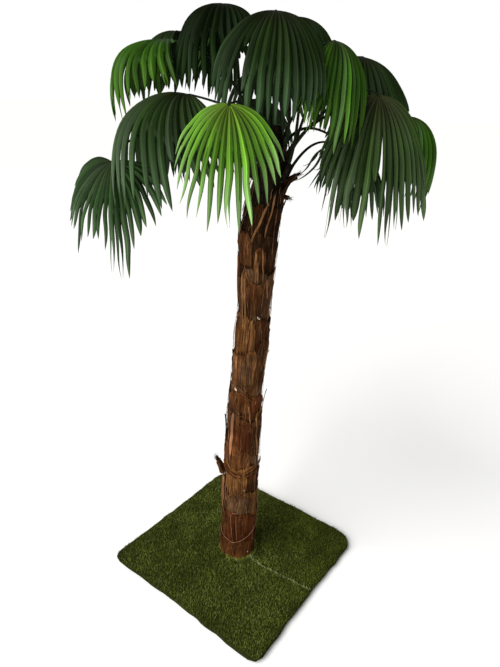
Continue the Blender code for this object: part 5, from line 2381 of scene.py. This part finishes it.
    def build_pile(self) -> None:
        """Short bent blades, dealt out over the backing."""
        dice = np.random.default_rng(self.seed)
        shapes = [Scatter(self.blade_shape(bend)) for bend in self.blade_bends]
        spots = []
        while len(spots) < self.blades:
            x, y = dice.uniform(-self.half, self.half, 2)
            if self.edge(x, y) < self.bare_edge or math.hypot(x, y) < self.hole - self.hole_margin:
                continue
            if self.at_seam(x, y, self.seam_clear):
                continue
            spots.append((x, y, self.level(x, y) - self.sown))
        spots = np.array(spots)
        tones = self.deal_tones(spots, dice)
        kinds = dice.integers(0, len(shapes), len(spots))
        places = self.blade_places(spots, dice)
        for number, finish in enumerate(self.finishes):
            parts = [(shape, places[(tones == number) & (kinds == kind)])
                     for kind, shape in enumerate(shapes)]
            piece = scattered_piece(f"turf_{finish.name}", parts, finish.material())
            settle(piece, "turf")

    def deal_tones(self, spots: np.ndarray, dice: np.random.Generator) -> np.ndarray:
        """Deals the blades their tones: darker to the right of the lean as painted shade away from the light,
        pale along one side of the cut.

        Args:
            spots: where they grow.
            dice: draws the tones.

        Returns:
            The number of each blade's finish.
        """
        right = heading_vector(LEAN_HEADING)
        off = (spots[:, 0] * right.x + spots[:, 1] * right.y) / self.half
        side = np.clip(off - self.right_from, 0.0, 0.9)
        drawn = dice.uniform(0.0, 1.0, len(spots)) - self.right_shade * side
        tones = np.searchsorted(self.shares, drawn)
        for number, (x, y, _z) in enumerate(spots):
            if self.at_seam(x, y, self.lip) and y < self.seam_side(x):
                tones[number] = len(self.finishes) - 1
        return tones

    def at_seam(self, x: float, y: float, distance: float) -> bool:
        """Whether a point is within a distance of the cut, outside the opening."""
        return x > self.hole and self.seam_distance(x, y) < distance

    def seam_side(self, x: float) -> float:
        """Where the cut crosses a line that keeps to one x."""
        (x0, y0), (x1, y1) = self.route[:2] if x < self.route[1][0] else self.route[1:]
        return y0 + (y1 - y0) * (x - x0) / (x1 - x0)

    def blade_places(self, spots: np.ndarray, dice: np.random.Generator) -> np.ndarray:
        """Matrices that put the blades in place.

        Args:
            spots: where they grow.
            dice: draws their turn, lean, width and length.

        Returns:
            An array of 4 x 4 matrices.
        """
        count = len(spots)
        turn = dice.uniform(0.0, math.tau, count)
        lean = dice.normal(0.0, self.blade_lean, count)
        length = dice.uniform(*self.blade_length, count)
        width = self.blade_width * dice.uniform(0.75, 1.25, count)
        edge = np.array([self.edge(x, y) for x, y, _ in spots])
        lean = lean * np.clip(edge / self.edge_margin, self.edge_lean, 1.0)
        at_trunk = np.hypot(spots[:, 0], spots[:, 1]) < self.hole + self.trunk_margin
        length = np.where(at_trunk, self.trunk_growth * length, length)
        at_cut = np.array([self.at_seam(x, y, self.lip) for x, y, _ in spots])
        lean = np.where(at_cut, self.lip_lean * lean, lean)
        cos_t, sin_t, cos_l, sin_l = np.cos(turn), np.sin(turn), np.cos(lean), np.sin(lean)
        places = np.zeros((count, 4, 4))
        places[:, :2, 0] = np.stack((cos_t * width, sin_t * width), axis=1)
        places[:, :3, 1] = np.stack((-sin_t * cos_l * length, cos_t * cos_l * length, sin_l * length), axis=1)
        places[:, :3, 2] = np.stack((sin_t * sin_l * length, -cos_t * sin_l * length, cos_l * length), axis=1)
        places[:, :3, 3] = spots
        places[:, 3, 3] = 1.0
        return places

    def blade_shape(self, bend: float) -> Mesh:
        """A blade of unit width and length along +Z that bends towards +Y.

        Args:
            bend: how far its tip moves aside.

        Returns:
            The mesh.
        """
        shape = bmesh.new()
        lay_grid(shape, 1, 2, lambda u, v: Vector(((u - 0.5) * (1.0 - 0.95 * v ** 2), bend * v * v * 0.6,
                                                   v * (1.0 - 0.18 * bend))))
        return shape


# ---------------------------------------------------------------- studio


@dataclass
class Studio:
    """Pale floor, soft light and the camera."""

    camera_place: tuple[float, float, float] = (0.9363, -1.2936, 1.6102)
    turn: float = 35.65  # from looking along +Y, to the left
    pitch: float = 23.563  # down from level
    roll: float = 2.912
    lens: float = 29.5
    sensor: float = 36.0
    ambient: float = 0.30

    def build(self) -> None:
        """Sets the studio up."""
        self.build_floor()
        self.build_world()
        self.add_light("key", "SUN", heading_vector(250.0, 40.0), 3.7, (1.0, 0.985, 0.955),
                       angle=math.radians(50.0))
        self.add_light("front", "AREA", heading_vector(288.0, 16.0) * 3.8, 44.0, (0.97, 0.99, 1.0), size=2.4)
        self.build_camera()
        LOG.info("studio ready")

    def build_floor(self) -> None:
        """A wide plain floor just under the board."""
        mesh = bmesh.new()
        bmesh.ops.create_grid(mesh, x_segments=4, y_segments=4, size=60.0)
        bmesh.ops.translate(mesh, vec=(0.0, 0.0, -GAP), verts=mesh.verts)
        material = bpy.data.materials.new("studio_floor")
        material.use_nodes = True
        shader = material.node_tree.nodes["Principled BSDF"]
        shader.inputs["Base Color"].default_value = (1.0, 1.0, 1.0, 1.0)
        shader.inputs["Roughness"].default_value = 0.9
        finish_mesh("studio_floor", mesh, [material])

    def build_world(self) -> None:
        """An even pale surround."""
        world = bpy.data.worlds.new("studio")
        world.use_nodes = True
        graph = Graph(world.node_tree)
        seen = graph.add("LightPath").outputs["Is Camera Ray"]
        background = world.node_tree.nodes["Background"]
        background.inputs["Color"].default_value = (1.0, 1.0, 1.0, 1.0)
        strength = graph.add("Mix", {"Factor": seen, 2: self.ambient, 3: 1.0}).outputs[0]
        world.node_tree.links.new(strength, background.inputs["Strength"])
        bpy.context.scene.world = world
        bpy.context.scene.view_settings.view_transform = "Standard"

    def add_light(self, name: str, kind: str, place: Vector, power: float, colour: Colour,
                  **settings: float) -> None:
        """Adds a soft light that faces the middle of the palm.

        Args:
            name: the light's name.
            kind: SUN, which is the same everywhere, or AREA.
            place: where it is, from the middle of the palm.
            power: watts for each square metre of a sun, and watts of an area light.
            colour: its colour.
            settings: a sun's angle or an area light's size.
        """
        data = bpy.data.lights.new(name, kind)
        data.energy = power
        data.color = colour
        for setting, value in settings.items():
            setattr(data, setting, value)
        light = place_object(name, data)
        light.location = place + UP
        light.rotation_euler = (-place).to_track_quat("-Z", "Y").to_euler()

    def build_camera(self) -> None:
        """The camera, at eye level."""
        data = bpy.data.cameras.new("camera")
        data.sensor_fit = "VERTICAL"
        data.sensor_height = self.sensor
        data.lens = self.lens
        data.clip_start = 0.05
        camera = place_object("camera", data)
        turn = (Matrix.Rotation(math.radians(self.turn), 4, "Z")
                @ Matrix.Rotation(math.radians(90.0 - self.pitch), 4, "X")
                @ Matrix.Rotation(math.radians(self.roll), 4, "Z"))
        camera.matrix_world = Matrix.Translation(self.camera_place) @ turn
        bpy.context.scene.camera = camera


def main() -> None:
    """Builds the palm from the floor up."""
    logging.basicConfig(level=logging.INFO, format="%(message)s")
    Studio().build()
    Board().dress()
    Turf().build()
    form = TrunkForm()
    Trunk(form).build()
    Tufts(form).build()
    plan = CrownPlan(form)
    plan.work_out()
    Stalks(plan).build()
    Leaves(plan).build()
    bpy.context.view_layer.update()


if __name__ == "__main__":
    main()
